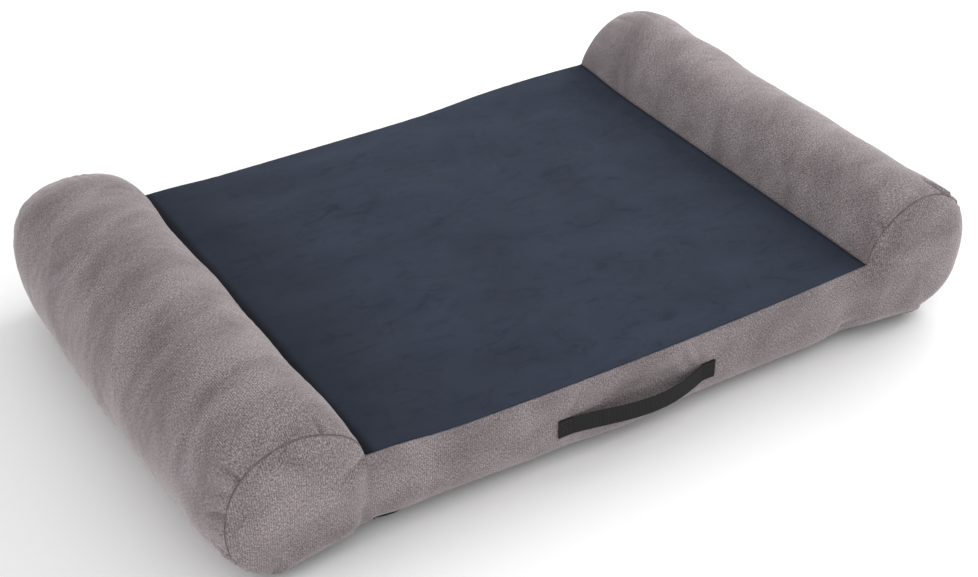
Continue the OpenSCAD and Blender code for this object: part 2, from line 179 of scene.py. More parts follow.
def panel_y(x, z, end):
    """Distance of the front (end -1) or back (1) panel from the middle of the mat."""
    swell = mix(WALL_BULGE, CAP_BULGE, neck(x)) * (1 - np.exp(-room(x, z, end) / BULGE_RUN))
    up = np.clip((z - BASE_SEAM_Z) / (MAT_HEIGHT - BASE_SEAM_Z), 0, 1) ** 4
    bow = bow_at(x) * up * (1 - neck(x)) if end < 0 else 0
    return SEAM_Y + swell - lower_turn(x, z) + bow


def crown(x, y):
    return TOP_CROWN * ((1 - np.minimum(1, np.abs(x) / SEAM_X) ** 4)
                        * (1 - np.minimum(1, np.abs(y) / SEAM_Y) ** 4))


# The rows of the mesh lie closer together where the cloth rolls into a seam
STEP = 0.0028
FLAT_STEP = 0.0045
BASE_STEP = 0.007
SEAM_STEPS = np.array([0, 0.0006, 0.0014, 0.0025, 0.0040])
PANEL_HEIGHT = 0.150
# Which way the seams of the base face, outwards and up: below the bolsters and below the walls
SIDE_SEAM = (0.45, -0.89)
WALL_SEAM = (0.62, -0.79)


def graded(length, step=STEP):
    count = max(2, round(length / step))
    middle = np.linspace(SEAM_STEPS[-1], length - SEAM_STEPS[-1], count)
    return np.concatenate([SEAM_STEPS[:-1], middle, length - SEAM_STEPS[-2::-1]])


# Each grid function gives the points of a piece of the cover, where its cloth lies flat (weave, in
# metres along and across the yarn), and its seams: how far each point is from the seam, and which
# way the seam faces.
def wrap_cloth(side):
    y, share = np.meshgrid(graded(2 * SEAM_Y) - SEAM_Y, graded(WRAP_LENGTH) / WRAP_LENGTH,
                           indexing="ij")
    a = mix(SEAM_ANGLE, base_angle(y), share)
    round_out = stack(side * np.cos(a), np.sign(y), np.sin(a))
    seams = [(SEAM_Y - np.abs(y), round_out),
             (share * WRAP_LENGTH, stack(-side * np.ones_like(a), 0, 1)),
             ((1 - share) * WRAP_LENGTH,
              stack(side * SIDE_SEAM[0], 0, SIDE_SEAM[1] * np.ones_like(a)))]
    return wrap_point(side, a, y), stack(share * WRAP_LENGTH, y), seams


def end_columns(side, end):
    """Upper and lower ends of the columns of a round end, from its outer tip to the mat."""
    outer = math.acos((base_x(SEAM_Y) - BOLSTER_X)
                      / (BOLSTER_RX * (1 - END_DRAW[side, end] / BOLSTER_RZ)))
    n_outer = round(BOLSTER_RX * outer / STEP)
    n_inner = round(BOLSTER_RX * (SEAM_ANGLE - outer) / STEP)
    y = end * SEAM_Y
    first = np.linspace(0, 1, n_outer, endpoint=False)
    angles = np.concatenate([first * outer, np.linspace(outer, SEAM_ANGLE, n_inner)])
    upper = wrap_point(side, angles, y)[:, [0, 2]]
    lower = upper.copy()
    lower[:n_outer] = wrap_point(side, first * base_angle(SEAM_Y), y)[:, [0, 2]]
    lower[n_outer:, 1] = BASE_SEAM_Z
    return upper, lower


def end_cloth(end):
    wall_x = np.linspace(-SEAM_X, SEAM_X, round(2 * SEAM_X / STEP))[1:-1]
    left, right = end_columns(-1, end), end_columns(1, end)
    upper = np.concatenate([left[0], stack(wall_x, MAT_HEIGHT), right[0][::-1]])
    lower = np.concatenate([left[1], stack(wall_x, BASE_SEAM_Z), right[1][::-1]])
    share = (graded(PANEL_HEIGHT) / PANEL_HEIGHT)[:, None, None]
    xz = mix(lower[None], upper[None], share)
    x, z = xz[..., 0], xz[..., 1]
    a = cap_angle(x, z)
    rim_out = mix(stack(0 * x, end, 1), stack(np.sign(x) * np.cos(a), end, np.sin(a)),
                  neck(x)[..., None])
    low = np.where(np.abs(x) < base_x(SEAM_Y), z - BASE_SEAM_Z, 1)
    seams = [(room(x, z, end), rim_out), (low, stack(0 * x, end * WALL_SEAM[0], WALL_SEAM[1]))]
    return stack(x, end * panel_y(x, z, end), z), stack(x, z - lower_turn(x, z)), seams


def top_cloth():
    y, x = np.meshgrid(graded(2 * SEAM_Y, FLAT_STEP) - SEAM_Y,
                       graded(2 * SEAM_X, FLAT_STEP) - SEAM_X, indexing="ij")
    bowed = y - bow_at(x) * np.clip(-y / SEAM_Y, 0, 1) ** 6
    seams = [(SEAM_X - np.abs(x), stack(-np.sign(x), 0, 1)),
             (SEAM_Y - np.abs(y), stack(0 * x, np.sign(y), 1))]
    return stack(x, bowed, MAT_HEIGHT + crown(x, y)), stack(x, y), seams


def rise(share, total):
    return np.maximum(0, 1 - total * (1 - np.abs(share)) / BASE_EDGE_RUN) ** 2


def base_cloth():
    v, u = np.meshgrid(graded(2 * SEAM_Y, BASE_STEP) / SEAM_Y - 1,
                       graded(2 * base_x(0), BASE_STEP) / base_x(0) - 1, indexing="ij")
    x = u * base_x(v * SEAM_Y)
    y = v * panel_y(u * base_x(SEAM_Y), BASE_SEAM_Z, 1)
    a, b = rise(u, base_x(0)), rise(v, SEAM_Y)
    seams = [((1 - np.abs(u)) * base_x(0), stack(np.sign(u) * SIDE_SEAM[0], 0, SIDE_SEAM[1])),
             ((1 - np.abs(v)) * SEAM_Y, stack(0 * u, np.sign(v) * WALL_SEAM[0], WALL_SEAM[1]))]
    return stack(x, y, BASE_SEAM_Z * (a + b - a * b)), stack(x, y), seams


# The filling makes the cover fuller than its pattern in some places and slacker in others, in mm.
# Round each bolster (side, angle in degrees), at places along it:
PLACES = (-0.31, -0.25, -0.17, -0.085, 0, 0.085, 0.17, 0.25, 0.31)
FULLNESS = {(-1, -15): (0, -2.5, 0.5, 5, 9, 9, 8, 7, -5), (-1, 35): (0, 0, 0, 0, 0, 0, 0, 0, 12),
            (-1, 145): (16, 9, 7, 5.5, 7, 5, 4, 8, 10),
            (1, 55): (10, -10, -7, -6, -7, -7, -4, -10, 9),
            (-1, 100): (0, 0, 0, 0, 0, 0, 0, 0, -6), (1, 100): (0, 0, 0, 0, 0, 0, 0, 0, 17)}
FULLNESS_RUN = 0.045
# How much the foot of the front is lifted, at places along it, which way and how far that reaches
FOOT_LIFT = {-0.45: 3, -0.41: 11, -0.37: 17, -0.33: 3, -0.27: 5.5, -0.22: 3, 0: -5,
             0.33: -3, 0.37: 15, 0.41: 11, 0.45: 5, 0.49: 4}
LIFT_WAY = np.array([0, 0.6, 0.8])
LIFT_RUN, WALL_LIFT_RUN = 0.030, 0.014
# How edges give, of the lying surface and under the right end: place in metres, shift in mm, and
# how far that reaches in metres
EDGE_GIVE = [((0.28, SEAM_Y, MAT_HEIGHT), (0, 8, 8), (0.075, 0.03, 0.018)),
             ((0.05, -SEAM_Y, MAT_HEIGHT), (0, -3, -3), (0.15, 0.03, 0.018)),
             ((0.51, -SEAM_Y, 0.04), (6, 0, -4), (0.02, 0.03, 0.02))]
# Weight of the pattern itself against the places that are pressed
PATTERN_HOLD = 0.3


def places_pressed():
    """Places of the cover that the filling moves: where, how far, and how far round them."""
    found = [(np.array(place), np.array(shift) / 1000, np.array(run))
             for place, shift, run in EDGE_GIVE]
    for (side, degrees), amounts in FULLNESS.items():
        a = math.radians(degrees)
        for y, amount in zip(PLACES, amounts):
            if amount:
                outwards = np.array([side * math.cos(a), 0, math.sin(a)])
                found.append((outwards * [BOLSTER_RX, 0, BOLSTER_RZ]
                              + [side * BOLSTER_X, y, BOLSTER_RZ],
                              outwards * amount / 1000, FULLNESS_RUN * np.ones(3)))
    for x, lift in FOOT_LIFT.items():
        run = (LIFT_RUN, LIFT_RUN, LIFT_RUN if abs(x) > SEAM_X else WALL_LIFT_RUN)
        found.append((np.array([x, -SEAM_Y, BASE_SEAM_Z]), LIFT_WAY * lift / 1000, np.array(run)))
    return found


PRESSED = places_pressed()


def fuller(points):
    """Points of the pattern, moved to where the filling presses them."""
    moved, total = 0, PATTERN_HOLD
    for place, shift, run in PRESSED:
        near = np.exp(-np.sum(((points - place) / run) ** 2, axis=-1) / 2)[..., None]
        moved, total = moved + near * shift, total + near
    points = points + moved / total
    points[..., 2] = np.maximum(points[..., 2], 0)
    return points


COVER = {name: (fuller(points), weave, seams) for name, (points, weave, seams) in
         {"top": top_cloth(), "left": wrap_cloth(-1), "right": wrap_cloth(1),
          "front": end_cloth(-1), "back": end_cloth(1), "base": base_cloth()}.items()}

# ---- Settling of the cover on its filling ----
# Cloth never lies exactly on its pattern: seams gather it, the filling presses it out, and hands
# leave soft creases. This section moves the points of the whole cover by a few millimetres.
SEAM_DEPTH = 0.0022
SEAM_ROLL = 0.0042
SWELL = 0.0006
# Gathers at each round seam: how many, their least and largest width (in radians), length,
# strength and slant, and how deep they are at the front and at the back
PUCKERS = 26
PUCKER_RANGE = ((0.030, 0.007, 0.2, -1.5), (0.055, 0.016, 1.0, 1.5))
PUCKER_DEPTH = {-1: 0.0009, 1: 0.0018}


def unit(v):
    return v / np.maximum(np.linalg.norm(v, axis=-1, keepdims=True), 1e-9)


def seam_sink(seams):
    """How the cloth rolls into its seams."""
    total = 0
    for distance, facing in seams:
        inside = np.clip(1 - distance / SEAM_ROLL, 0, 1)
        depth = SEAM_DEPTH * (1 - np.sqrt(1 - inside ** 2))
        total = total - depth[..., None] * unit(facing)
    return total


def swells(points):
    """Broad, shallow waves that the filling leaves in the cloth."""
    x, y, z = np.moveaxis(points, -1, 0)
    return SWELL * (np.sin(31 * x + 17 * y + 9 * z) + np.sin(-19 * x + 37 * y + 23 * z + 1.3)
                    + np.sin(47 * x - 21 * y + 33 * z + 2.1) + np.sin(13 * x + 53 * y - 41 * z))


def puckers(side, end, angle, distance):
    """Short gathers that stand square to the round seam of a bolster's end."""
    spread = np.random.RandomState(11 + 2 * side + end)
    gathers = np.sort(spread.uniform(base_angle(SEAM_Y), SEAM_ANGLE, PUCKERS))
    total = np.zeros_like(distance)
    for at in gathers:
        width, length, strength, slant = spread.uniform(*PUCKER_RANGE)
        off = (angle - at - slant * distance) / width
        away = distance / length
        total += strength * np.exp(-off ** 2) * away * np.exp(1 - away)
    return PUCKER_DEPTH[end] * total


# Creases that hands and the sewing left, in mm: the line of each on its piece, how wide and how
# deep it is (below 0: a ridge)
CREASES = {
    "left": [([(-506, -320, 157), (-508, -312, 162), (-515, -297, 165)], 3.5, 5),
             ([(-516, -320, 142), (-523, -312, 140), (-531, -300, 136)], 4.5, 2.8),
             ([(-524, -320, 119), (-529, -311, 117), (-533, -300, 114)], 3.5, 4),
             ([(-520, -320, 55), (-527, -314, 63), (-531, -304, 66)], 4, 4.5),
             ([(-526, -314, 55), (-519, -316, 42), (-511, -316, 33)], 3.5, 4),
             ([(-407, -320, 177), (-409, -312, 184), (-411, -303, 188)], 3.5, 3.4),
             ([(-395, -320, 170), (-391, -308, 174)], 5, 1.6),
             ([(-362, -318, 132), (-369, -312, 150), (-377, -300, 160)], 4, 1.6)],
    "right": [([(491, -320, 183), (490, -312, 189), (483, -290, 195)], 4.5, 7),
              ([(500, -318, 180), (501, -298, 187)], 6, -3),
              ([(513, -320, 168), (517, -306, 172)], 3.5, 3.5),
              ([(521, -320, 158), (526, -306, 160)], 3.5, 3),
              ([(391, -320, 166), (391, -312, 170), (388, -300, 172)], 3.5, 4.2),
              ([(382, -320, 153), (379, -305, 156)], 5, 1.8)],
    "front": [([(-364, -323, 125), (-384, -331, 123), (-405, -333, 117)], 6, 2.2),
              ([(-355, -325, 112), (-356, -327, 90), (-357, -319, 41)], 11, 2.2),
              ([(-366, -318, 22), (-366, -323, 55)], 7, 3.0),
              ([(-519, -322, 50), (-511, -328, 68)], 5, 1.6),
              ([(371, -322, 124), (397, -332, 119), (462, -334, 97)], 4, 1.5),
              ([(376, -323, 137), (391, -328, 143), (411, -332, 144)], 4, 1.8),
              ([(372, -322, 130), (394, -331, 131)], 4, 1.4),
              ([(345, -318, 30), (376, -325, 38)], 7, 2.4),
              ([(90, -325, 74), (80, -326, 86), (71, -327, 107)], 7, 2.4),
              ([(106, -325, 74), (96, -326, 90), (90, -327, 110)], 6, 2.0),
              ([(60, -325, 80), (10, -326, 84), (-40, -326, 80)], 14, 1.8),
              ([(-88, -325, 74), (-82, -325, 84), (-79, -325, 100)], 7, 2.2),
              ([(-82, -322, 42), (-81, -316, 22)], 5, -1.4),
              ([(101, -323, 42), (98, -316, 24)], 5, -1.6)]}
CREASE_FADE = 0.9
# Beside a crease the cloth stands up: how high, how far off and how wide, as shares of the crease
BANK_HEIGHT, BANK_OFF, BANK_WIDTH = 0.35, 2.1, 0.9
# How much shade a crease paints on the cloth for each mm of its depth, how narrowly, and at most
CREASE_SHADE, CREASE_SHADE_SHARPNESS, CREASE_SHADE_MOST = 0.13, 1.5, 0.55
SEWN_EDGE, SEWN_RUN = 0.002, 0.012


def creased(name, points):
    """How deep the creases of a piece press its cloth in, and how much shade is painted in them.
    """
    total, painted_shade = np.zeros(points.shape[:-1]), np.zeros(points.shape[:-1])
    for line, width, depth in CREASES.get(name, []):
        line = np.array(line) / 1000
        share = np.linspace(0, 1, 25)
        knots = np.linspace(0, 1, len(line))
        path = stack(*[np.interp(share, knots, line[:, k]) for k in range(3)])
        away = np.linalg.norm(points[..., None, :] - path, axis=-1)
        nearest = np.argmin(away, axis=-1)
        off = np.min(away, axis=-1) / (width / 1000)
        fade = np.sqrt(1 - CREASE_FADE * share[nearest])
        bank = BANK_HEIGHT * np.exp(-((off - BANK_OFF) / BANK_WIDTH) ** 2)
        total += depth / 1000 * fade * (np.exp(-off ** 2) - bank)
        painted_shade += CREASE_SHADE * max(0, depth) * fade * np.exp(-(CREASE_SHADE_SHARPNESS * off) ** 2)
    return total, np.minimum(painted_shade, CREASE_SHADE_MOST)


def loose(points):
    """Share of the cloth's movement that is left near the zip and the sewn ends of the handle."""
    x, y, z = np.moveaxis(points, -1, 0)
    share = np.ones_like(x)
    tabs = [(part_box("handle_left_tab"), -1), (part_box("handle_right_tab"), -1),
            (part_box("zip_end_stops"), 1)]
    for (low, high), end in tabs:
        run = np.hypot(np.maximum(0, np.maximum(low.x - x, x - high.x)),
                       np.maximum(0, np.maximum(low.z - SEWN_EDGE - z, z - high.z - SEWN_EDGE)))
        share = np.minimum(share, np.where(y * end > 0, ease(SEWN_EDGE, SEWN_RUN, run), 1))
    return share


def seam_distance(seams):
    return np.min([distance for distance, facing in seams], axis=0)


MIDDLE = np.array([0, 0, 0.06])


def crossed(points):
    """Normals of a grid of points, as long as the grid's cells are large."""
    return np.cross(np.gradient(points, axis=1), np.gradient(points, axis=0))


def grid_normals(points):
    """Normals of a grid of points, facing away from the middle of the bed."""
    n = unit(crossed(points))
    return n if np.mean(np.sum(n * (points - MIDDLE), axis=-1)) > 0 else -n


def grid_faces(rows, columns, hole=None, flip=False):
    r, c = np.meshgrid(np.arange(rows - 1), np.arange(columns - 1), indexing="ij")
    first = r * columns + c
    quads = stack(first, first + 1, first + columns + 1, first + columns)
    quads = quads[~hole] if hole is not None else quads.reshape(-1, 4)
    return quads[:, ::-1] if flip else quads


def mesh_object(name, points, faces, material, weave=None, painted_shade=None, edges=()):
    """A smooth mesh of points and faces. weave gives each point's place on its cloth, and the
    shade map how much shade is painted on each point where its creases and seams lie in shadow."""
    mesh = bpy.data.meshes.new(name)
    mesh.from_pydata([tuple(p) for p in points], edges, [tuple(f) for f in faces])
    if weave is not None:
        layer = mesh.uv_layers.new(name="weave")
        corners = np.empty(len(mesh.loops), int)
        mesh.loops.foreach_get("vertex_index", corners)
        layer.data.foreach_set("uv", np.asarray(weave, np.float32)[corners].ravel())
    if painted_shade is not None:
        layer = mesh.attributes.new("painted_shade", "FLOAT", "POINT")
        layer.data.foreach_set("value", np.asarray(painted_shade, np.float32).ravel())
    mesh.materials.append(material)
    mesh.shade_smooth()
    piece = bpy.data.objects.new(name, mesh)
    bpy.context.scene.collection.objects.link(piece)
    return piece


def applied(piece):
    """The piece with its modifiers turned into plain mesh."""
    shown = piece.evaluated_get(bpy.context.evaluated_depsgraph_get())
    mesh = bpy.data.meshes.new_from_object(shown)
    piece.modifiers.clear()
    piece.data = mesh
    return piece


def vertices(mesh):
    places = np.empty(3 * len(mesh.vertices), np.float32)
    mesh.vertices.foreach_get("co", places)
    return places.reshape(-1, 3)


def nearest_tree(points):
    tree = kdtree.KDTree(len(points))
    for i, place in enumerate(points):
        tree.insert(place, i)
    tree.balance()
    return tree


SIM_VOXEL = 0.0075
SIM_FRAMES = 16
SIM_REACH = 0.0035
SEAM_HOLD_RUN = 0.6 * SIM_VOXEL
CARRY_SPREAD = 1.2 * SIM_VOXEL ** 2
SPARE_CLOTH = 0.006
GATHERED_CLOTH = 0.11
GATHER_RUN = 0.020
FOAM_HOLD = 0.55
FILL_HOLD = 0.35
# Share of the gathering that each piece takes at its round ends
GATHERED = {"left": 1, "right": 1, "front": 0.6, "back": 0.6}


def pressed_out():
    """Cloth simulation of the closed cover: the filling presses the spare cloth out between the
    seams, which hold. Returns its points before and how far each one moves."""
    points, faces, hold, gather, count = [], [], [], [], 0
    for name, (grid, _, seams) in COVER.items():
        rows, columns = grid.shape[:2]
        flip = np.sum(crossed(grid) * grid_normals(grid)) < 0
        faces.append(grid_faces(rows, columns, flip=flip) + count)
        points.append(grid.reshape(-1, 3))
        backed = FILL_HOLD if name in ("left", "right") else FOAM_HOLD
        if name in ("front", "back"):
            backed = mix(FOAM_HOLD, FILL_HOLD, neck(grid[..., 0]))
        if name == "base":
            backed = 1.0
        held = np.exp(-(seam_distance(seams) / SEAM_HOLD_RUN) ** 2)
        hold.append(np.maximum(held, backed).ravel())
        near_end = (seams[0][0] - GATHER_RUN) / GATHER_RUN
        round_end = GATHERED.get(name, 0)
        round_end = round_end * (neck(grid[..., 0]) if name in ("front", "back") else 1)
        gather.append((round_end * np.exp(-near_end ** 2)).ravel())
        count += rows * columns
    points, faces, hold, gather = map(np.concatenate, (points, faces, hold, gather))
    sewn = mesh_object("cover_simulation", points, faces, bpy.data.materials.new("unseen"))
    remesh = sewn.modifiers.new("voxels", "REMESH")
    remesh.mode = "VOXEL"
    remesh.voxel_size = SIM_VOXEL
    applied(sewn)
    start = vertices(sewn.data)
    tree = nearest_tree(points)
    group = sewn.vertex_groups.new(name="held")
    gathered = sewn.vertex_groups.new(name="gathered")
    for i, place in enumerate(start):
        near = [k for _, k, _ in tree.find_n(place, 4)]
        group.add([i], float(hold[near].max()), "REPLACE")
        gathered.add([i], float(gather[near].mean()), "REPLACE")
    cloth = sewn.modifiers.new("cloth", "CLOTH")
    settings = cloth.settings
    settings.quality = 5
    settings.mass = 0.3
    settings.tension_stiffness = settings.compression_stiffness = 25
    settings.shear_stiffness = 12
    settings.bending_stiffness = 1.2
    settings.use_pressure = True
    settings.uniform_pressure_force = 4
    settings.shrink_min = -SPARE_CLOTH
    settings.shrink_max = -GATHERED_CLOTH
    settings.vertex_group_shrink = "gathered"
    settings.vertex_group_mass = "held"
    settings.pin_stiffness = 1.0
    settings.effector_weights.gravity = 0
    cloth.collision_settings.use_collision = False
    scene = bpy.context.scene
    for frame_number in range(1, SIM_FRAMES + 1):
        scene.frame_set(frame_number)
    shown = sewn.evaluated_get(bpy.context.evaluated_depsgraph_get())
    moved = vertices(shown.data) - start
    scene.frame_set(1)
    bpy.data.objects.remove(sewn)
    length = np.linalg.norm(moved, axis=1, keepdims=True)
    return start, moved * np.tanh(length / SIM_REACH) * SIM_REACH / np.maximum(length, 1e-9)


def carried(points, start, moved):
    """The simulation's movement at other points of the cover."""
    tree = nearest_tree(start)
    total = np.zeros((points.size // 3, 3))
    for i, place in enumerate(points.reshape(-1, 3)):
        near = tree.find_n(place, 6)
        weight = np.exp(-np.array([d for _, _, d in near]) ** 2 / CARRY_SPREAD)
        total[i] = weight @ moved[[k for _, k, _ in near]] / weight.sum()
    return total.reshape(points.shape)


# Painted shade in the groove of each seam, how dark and how narrow, and how far from the seams
# creases and waves begin
SEAM_SHADE, SEAM_LINE = 0.55, 0.0009
CREASE_RUN, SWELL_RUN = 0.003, 0.05

simulated = pressed_out()
SETTLED, SHADE_MAPS = {}, {}
for name, (points, weave, seams) in COVER.items():
    out = grid_normals(points)
    from_seam = seam_distance(seams)
    inwards, painted_shade = creased(name, points)
    SHADE_MAPS[name] = np.maximum(painted_shade, SEAM_SHADE * np.exp(-(from_seam / SEAM_LINE) ** 2))
    inwards = inwards * np.clip(from_seam / CREASE_RUN, 0, 1)
    inwards -= swells(points) * np.clip(from_seam / SWELL_RUN, 0, 1)
    side = {"left": -1, "right": 1}.get(name)
    if side:
        angle = np.arctan2((points[..., 2] - BOLSTER_RZ) / BOLSTER_RZ,
                           (side * points[..., 0] - BOLSTER_X) / BOLSTER_RX)
        for end in PUCKER_DEPTH:
            near = np.maximum(0, SEAM_Y - end * points[..., 1])
            inwards += puckers(side, end, angle, near)
    moved = -out * inwards[..., None]
    if simulated:
        moved = moved + carried(points, *simulated)
    SETTLED[name] = points + moved * loose(points)[..., None] + seam_sink(seams)

# The black base bulges out under the front wall beside the left bolster
BASE_BULGE = [0, -0.003, -0.0008]
BASE_BULGE_X, BASE_BULGE_RUN, BASE_BULGE_RISE = -0.326, 0.018, 0.005
BASE_FLOOR = 0.0005
x, y, z = np.moveaxis(SETTLED["base"], -1, 0)
low = seam_distance(COVER["base"][2]) / BASE_BULGE_RISE
bulge = low * np.exp(1 - low) * np.exp(-((x - BASE_BULGE_X) / BASE_BULGE_RUN) ** 4) * (y < 0)
SETTLED["base"] += bulge[..., None] * BASE_BULGE
SETTLED["base"][..., 2] = np.maximum(SETTLED["base"][..., 2], BASE_FLOOR)

# Painted shadow on the lying surface beside both bolsters, which shade it: how dark, from and up
# to which x
TOP_EDGE_SHADE = ((0.85, -0.341, -0.352), (0.6, 0.359, SEAM_X))
x = COVER["top"][0][..., 0]
SHADE_MAPS["top"] = sum(much * ease(from_x, to_x, x) for much, from_x, to_x in TOP_EDGE_SHADE)

# ---- Foam core ----
# One slab of open-cell foam that carries the lying surface. It is cut square, rounded along its
# lower edges and pushed into the cover, so it stands a little inside the cloth.
FOAM_SINK = 0.006
FOAM_ROUND = 0.002


def linear(hex_colour):
    """A colour written as sRGB hex, as the linear colour that a socket takes."""
    srgb = [int(hex_colour[i:i + 2], 16) / 255 for i in (1, 3, 5)]
    return [c / 12.92 if c <= 0.04045 else ((c + 0.055) / 1.055) ** 2.4 for c in srgb] + [1]


def add(tree, kind, inputs=None, out=0, stops=(), **settings):
    """Adds a node with its settings and links, and returns its output out. Inputs are set by name
    or number, to a value or from a socket. stops are the places and colours of a ramp."""
    node = tree.nodes.new(kind)
    for name, value in settings.items():
        setattr(node, name, value)
    for name, value in (inputs or {}).items():
        if isinstance(value, bpy.types.NodeSocket):
            tree.links.new(value, node.inputs[name])
        else:
            node.inputs[name].default_value = value
    if stops:
        elements = node.color_ramp.elements
        while len(elements) < len(stops):
            elements.new(0.5)
        for element, (place, colour) in zip(elements, stops):
            element.position = place
            element.color = linear(colour)
    return node.outputs[out]


def summed(tree, *parts):
    """Sum of sockets, each times its share."""
    shares = [add(tree, "ShaderNodeMath", {0: socket, 1: share}, operation="MULTIPLY")
              for socket, share in parts]
    total = shares[0]
    for share in shares[1:]:
        total = add(tree, "ShaderNodeMath", {0: total, 1: share}, operation="ADD")
    return total


def new_material(name, **shader_values):
    """A material and its node tree."""
    material = bpy.data.materials.new(name)
    material.use_nodes = True
    shader = material.node_tree.nodes["Principled BSDF"]
    for key, value in shader_values.items():
        shader.inputs[key.replace("_", " ")].default_value = value
    return material, material.node_tree


def finished(material, colours, relief, depth, strength):
    """The material with its colours and its relief, whose depth is in metres."""
    tree = material.node_tree
    inputs = tree.nodes["Principled BSDF"].inputs
    tree.links.new(colours, inputs["Base Color"])
    bump = add(tree, "ShaderNodeBump", {"Height": relief, "Distance": depth,
               "Strength": strength})
    tree.links.new(bump, inputs["Normal"])
    return material


def lofted(name, rings, material, weave=None):
    """A closed body through rings that have as many points each."""
    rings = np.asarray(rings)
    count, n = rings.shape[:2]
    i = np.arange(n)
    faces = [[r * n + c, r * n + (c + 1) % n, (r + 1) * n + (c + 1) % n, (r + 1) * n + c]
             for r in range(count - 1) for c in i]
    faces += [list(i[::-1]), list((count - 1) * n + i)]
    return mesh_object(name, rings.reshape(-1, 3), faces, material, weave)


def foam_ring(x, sunk=FOAM_SINK, across=24, turned=8):
    """Outline of the slab across its depth: the top from back to front, then the lower edges."""
    y = SEAM_Y * np.sin(np.linspace(0.5, -0.5, across) * math.pi)
    half = SEAM_Y - sunk
    top = stack(x, y * half / SEAM_Y, MAT_HEIGHT - sunk + crown(x, y))
    a = np.linspace(0, math.pi / 2, turned)
    r = WALL_EDGE_R
    front = stack(x, -half + r * (1 - np.cos(a)), sunk + r * (1 - np.sin(a)))
    return np.concatenate([top, front, (front * [1, -1, 1])[::-1]])


# Polyurethane foam, cut with a blade: pale yellow and matt, pitted all over with open cells. They
# are drawn 1.4 mm wide, coarser than real ones, so that they show.
material, tree = new_material("open_cell_foam", Roughness=0.95, Specular_IOR_Level=0.1)
place = add(tree, "ShaderNodeTexCoord", out="Object")
cells = add(tree, "ShaderNodeTexVoronoi", {"Vector": place, "Scale": 700})
clouds = add(tree, "ShaderNodeTexNoise", {"Vector": place, "Scale": 12, "Detail": 4})
colours = add(tree, "ShaderNodeValToRGB", {"Fac": summed(tree, (cells, 0.6), (clouds, 0.4))},
              stops=((0.2, "#cfc39c"), (0.7, "#ece5cb")))
foam = finished(material, colours, cells, 0.0006, 0.6)

foam_end = SEAM_X - FOAM_SINK / 2
foam_x = [-foam_end, *np.linspace(-foam_end + FOAM_ROUND, foam_end - FOAM_ROUND, 48), foam_end]
foam_rings = [fuller(foam_ring(x, FOAM_SINK + (FOAM_ROUND if abs(x) == foam_end else 0)))
              for x in foam_x]
foam_core = lofted("foam_core", foam_rings, foam)
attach(foam_core, "mattress")
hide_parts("foam_core")

# ---- Bolster fill ----
# Loose polyester fibre, blown into each bolster: a lumpy roll that is flat against the divider and
# on the base.
FILL_SINK = 0.008
FILL_LUMP = 0.0025
FILL_GAP = 0.006
FILL_FOOT = 0.014
FILL_FLOOR = 0.010
# How the roll narrows to its ends: how far inwards from the end's seam, and share of its size
FILL_ENDS = ((-0.002, 0.35), (0.002, 0.65), (0.008, 0.86), (0.018, 0.96))
FILL_END_RUN = 0.03


def fill_ring(side, y, size=1.0, around=48):
    held = np.clip(y, -SEAM_Y, SEAM_Y)
    a = np.linspace(SEAM_ANGLE, base_angle(held), around)
    lumps = FILL_LUMP * (1 + np.sin(7 * a + 41 * y) * np.sin(3 * a - 67 * y + side))
    ring = wrap_point(side, a, held, FILL_SINK + lumps)
    inner = SEAM_X + FILL_GAP
    ring[:, 0] = side * np.maximum(inner, side * ring[:, 0])
    low = np.linspace(0, 1, 10)[1:, None]
    foot = np.array([side * inner, held, FILL_FOOT])
    ring = np.concatenate([ring, mix(ring[-1], foot, low)])
    ring[:, 2] = np.maximum(ring[:, 2], FILL_FLOOR)
    centre = np.array([side * BOLSTER_X, held, BOLSTER_RZ])
    ring = centre + (ring - centre) * size
    ring[:, 1] = y
    return ring


# Blown polyester fibre: dull white, in soft wisps about 1 cm across with shadows between them
material, tree = new_material("polyester_fibre", Roughness=1.0, Specular_IOR_Level=0.1)
place = add(tree, "ShaderNodeTexCoord", out="Object")
teased = add(tree, "ShaderNodeMapping", {"Vector": place, "Scale": (1, 0.4, 1.6)})
wisps = add(tree, "ShaderNodeTexNoise", {"Vector": teased, "Scale": 90, "Detail": 6,
            "Roughness": 0.7, "Distortion": 2.0})
colours = add(tree, "ShaderNodeValToRGB", {"Fac": wisps},
              stops=((0.3, "#d6d6d2"), (0.7, "#f7f7f5")))
fibre = finished(material, colours, wisps, 0.003, 0.8)

for side, name in ((-1, "left_bolster_fill"), (1, "right_bolster_fill")):
    middle = SEAM_Y - FILL_END_RUN
    rings = [fill_ring(side, -SEAM_Y + inwards, size) for inwards, size in FILL_ENDS]
    rings += [fill_ring(side, y) for y in np.linspace(-middle, middle, 60)]
    rings += [fill_ring(side, SEAM_Y - inwards, size) for inwards, size in FILL_ENDS[::-1]]
    piece = lofted(name, [fuller(ring) for ring in rings], fibre)
    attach(piece, "mattress")
    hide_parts(name)

# ---- Dividers ----
# A wall of thin black lining is sewn between the foam and each bolster, and keeps the fibre apart.
# Its edges are caught in the seams of the cover all round, so it stays stretched.
DIVIDER_T = 0.0012
DIVIDER_SINK = 0.006
DIVIDER_FOOT = 0.002
DIVIDER_RIPPLE = 0.0004


def cloth_piece(name, points, weave, material, thickness, centre=MIDDLE, hole=None, painted_shade=None):
    """A piece of cloth through a grid of points, thick on the side that faces the centre."""
    rows, columns = points.shape[:2]
    inwards = np.mean(np.sum(crossed(points) * (points - np.array(centre)), axis=-1)) < 0
    piece = mesh_object(name, points.reshape(-1, 3), grid_faces(rows, columns, hole, inwards),
                        material, weave.reshape(-1, 2), painted_shade)
    solid = piece.modifiers.new("thickness", "SOLIDIFY")
    solid.thickness = thickness
    solid.offset = -1
    weld = piece.modifiers.new("weld", "WELD")
    weld.merge_threshold = 1e-5
    return applied(piece)


def band_scale(pitch):
    """Scale of a wave texture with one band every pitch metres."""
    return math.pi / 10 / pitch


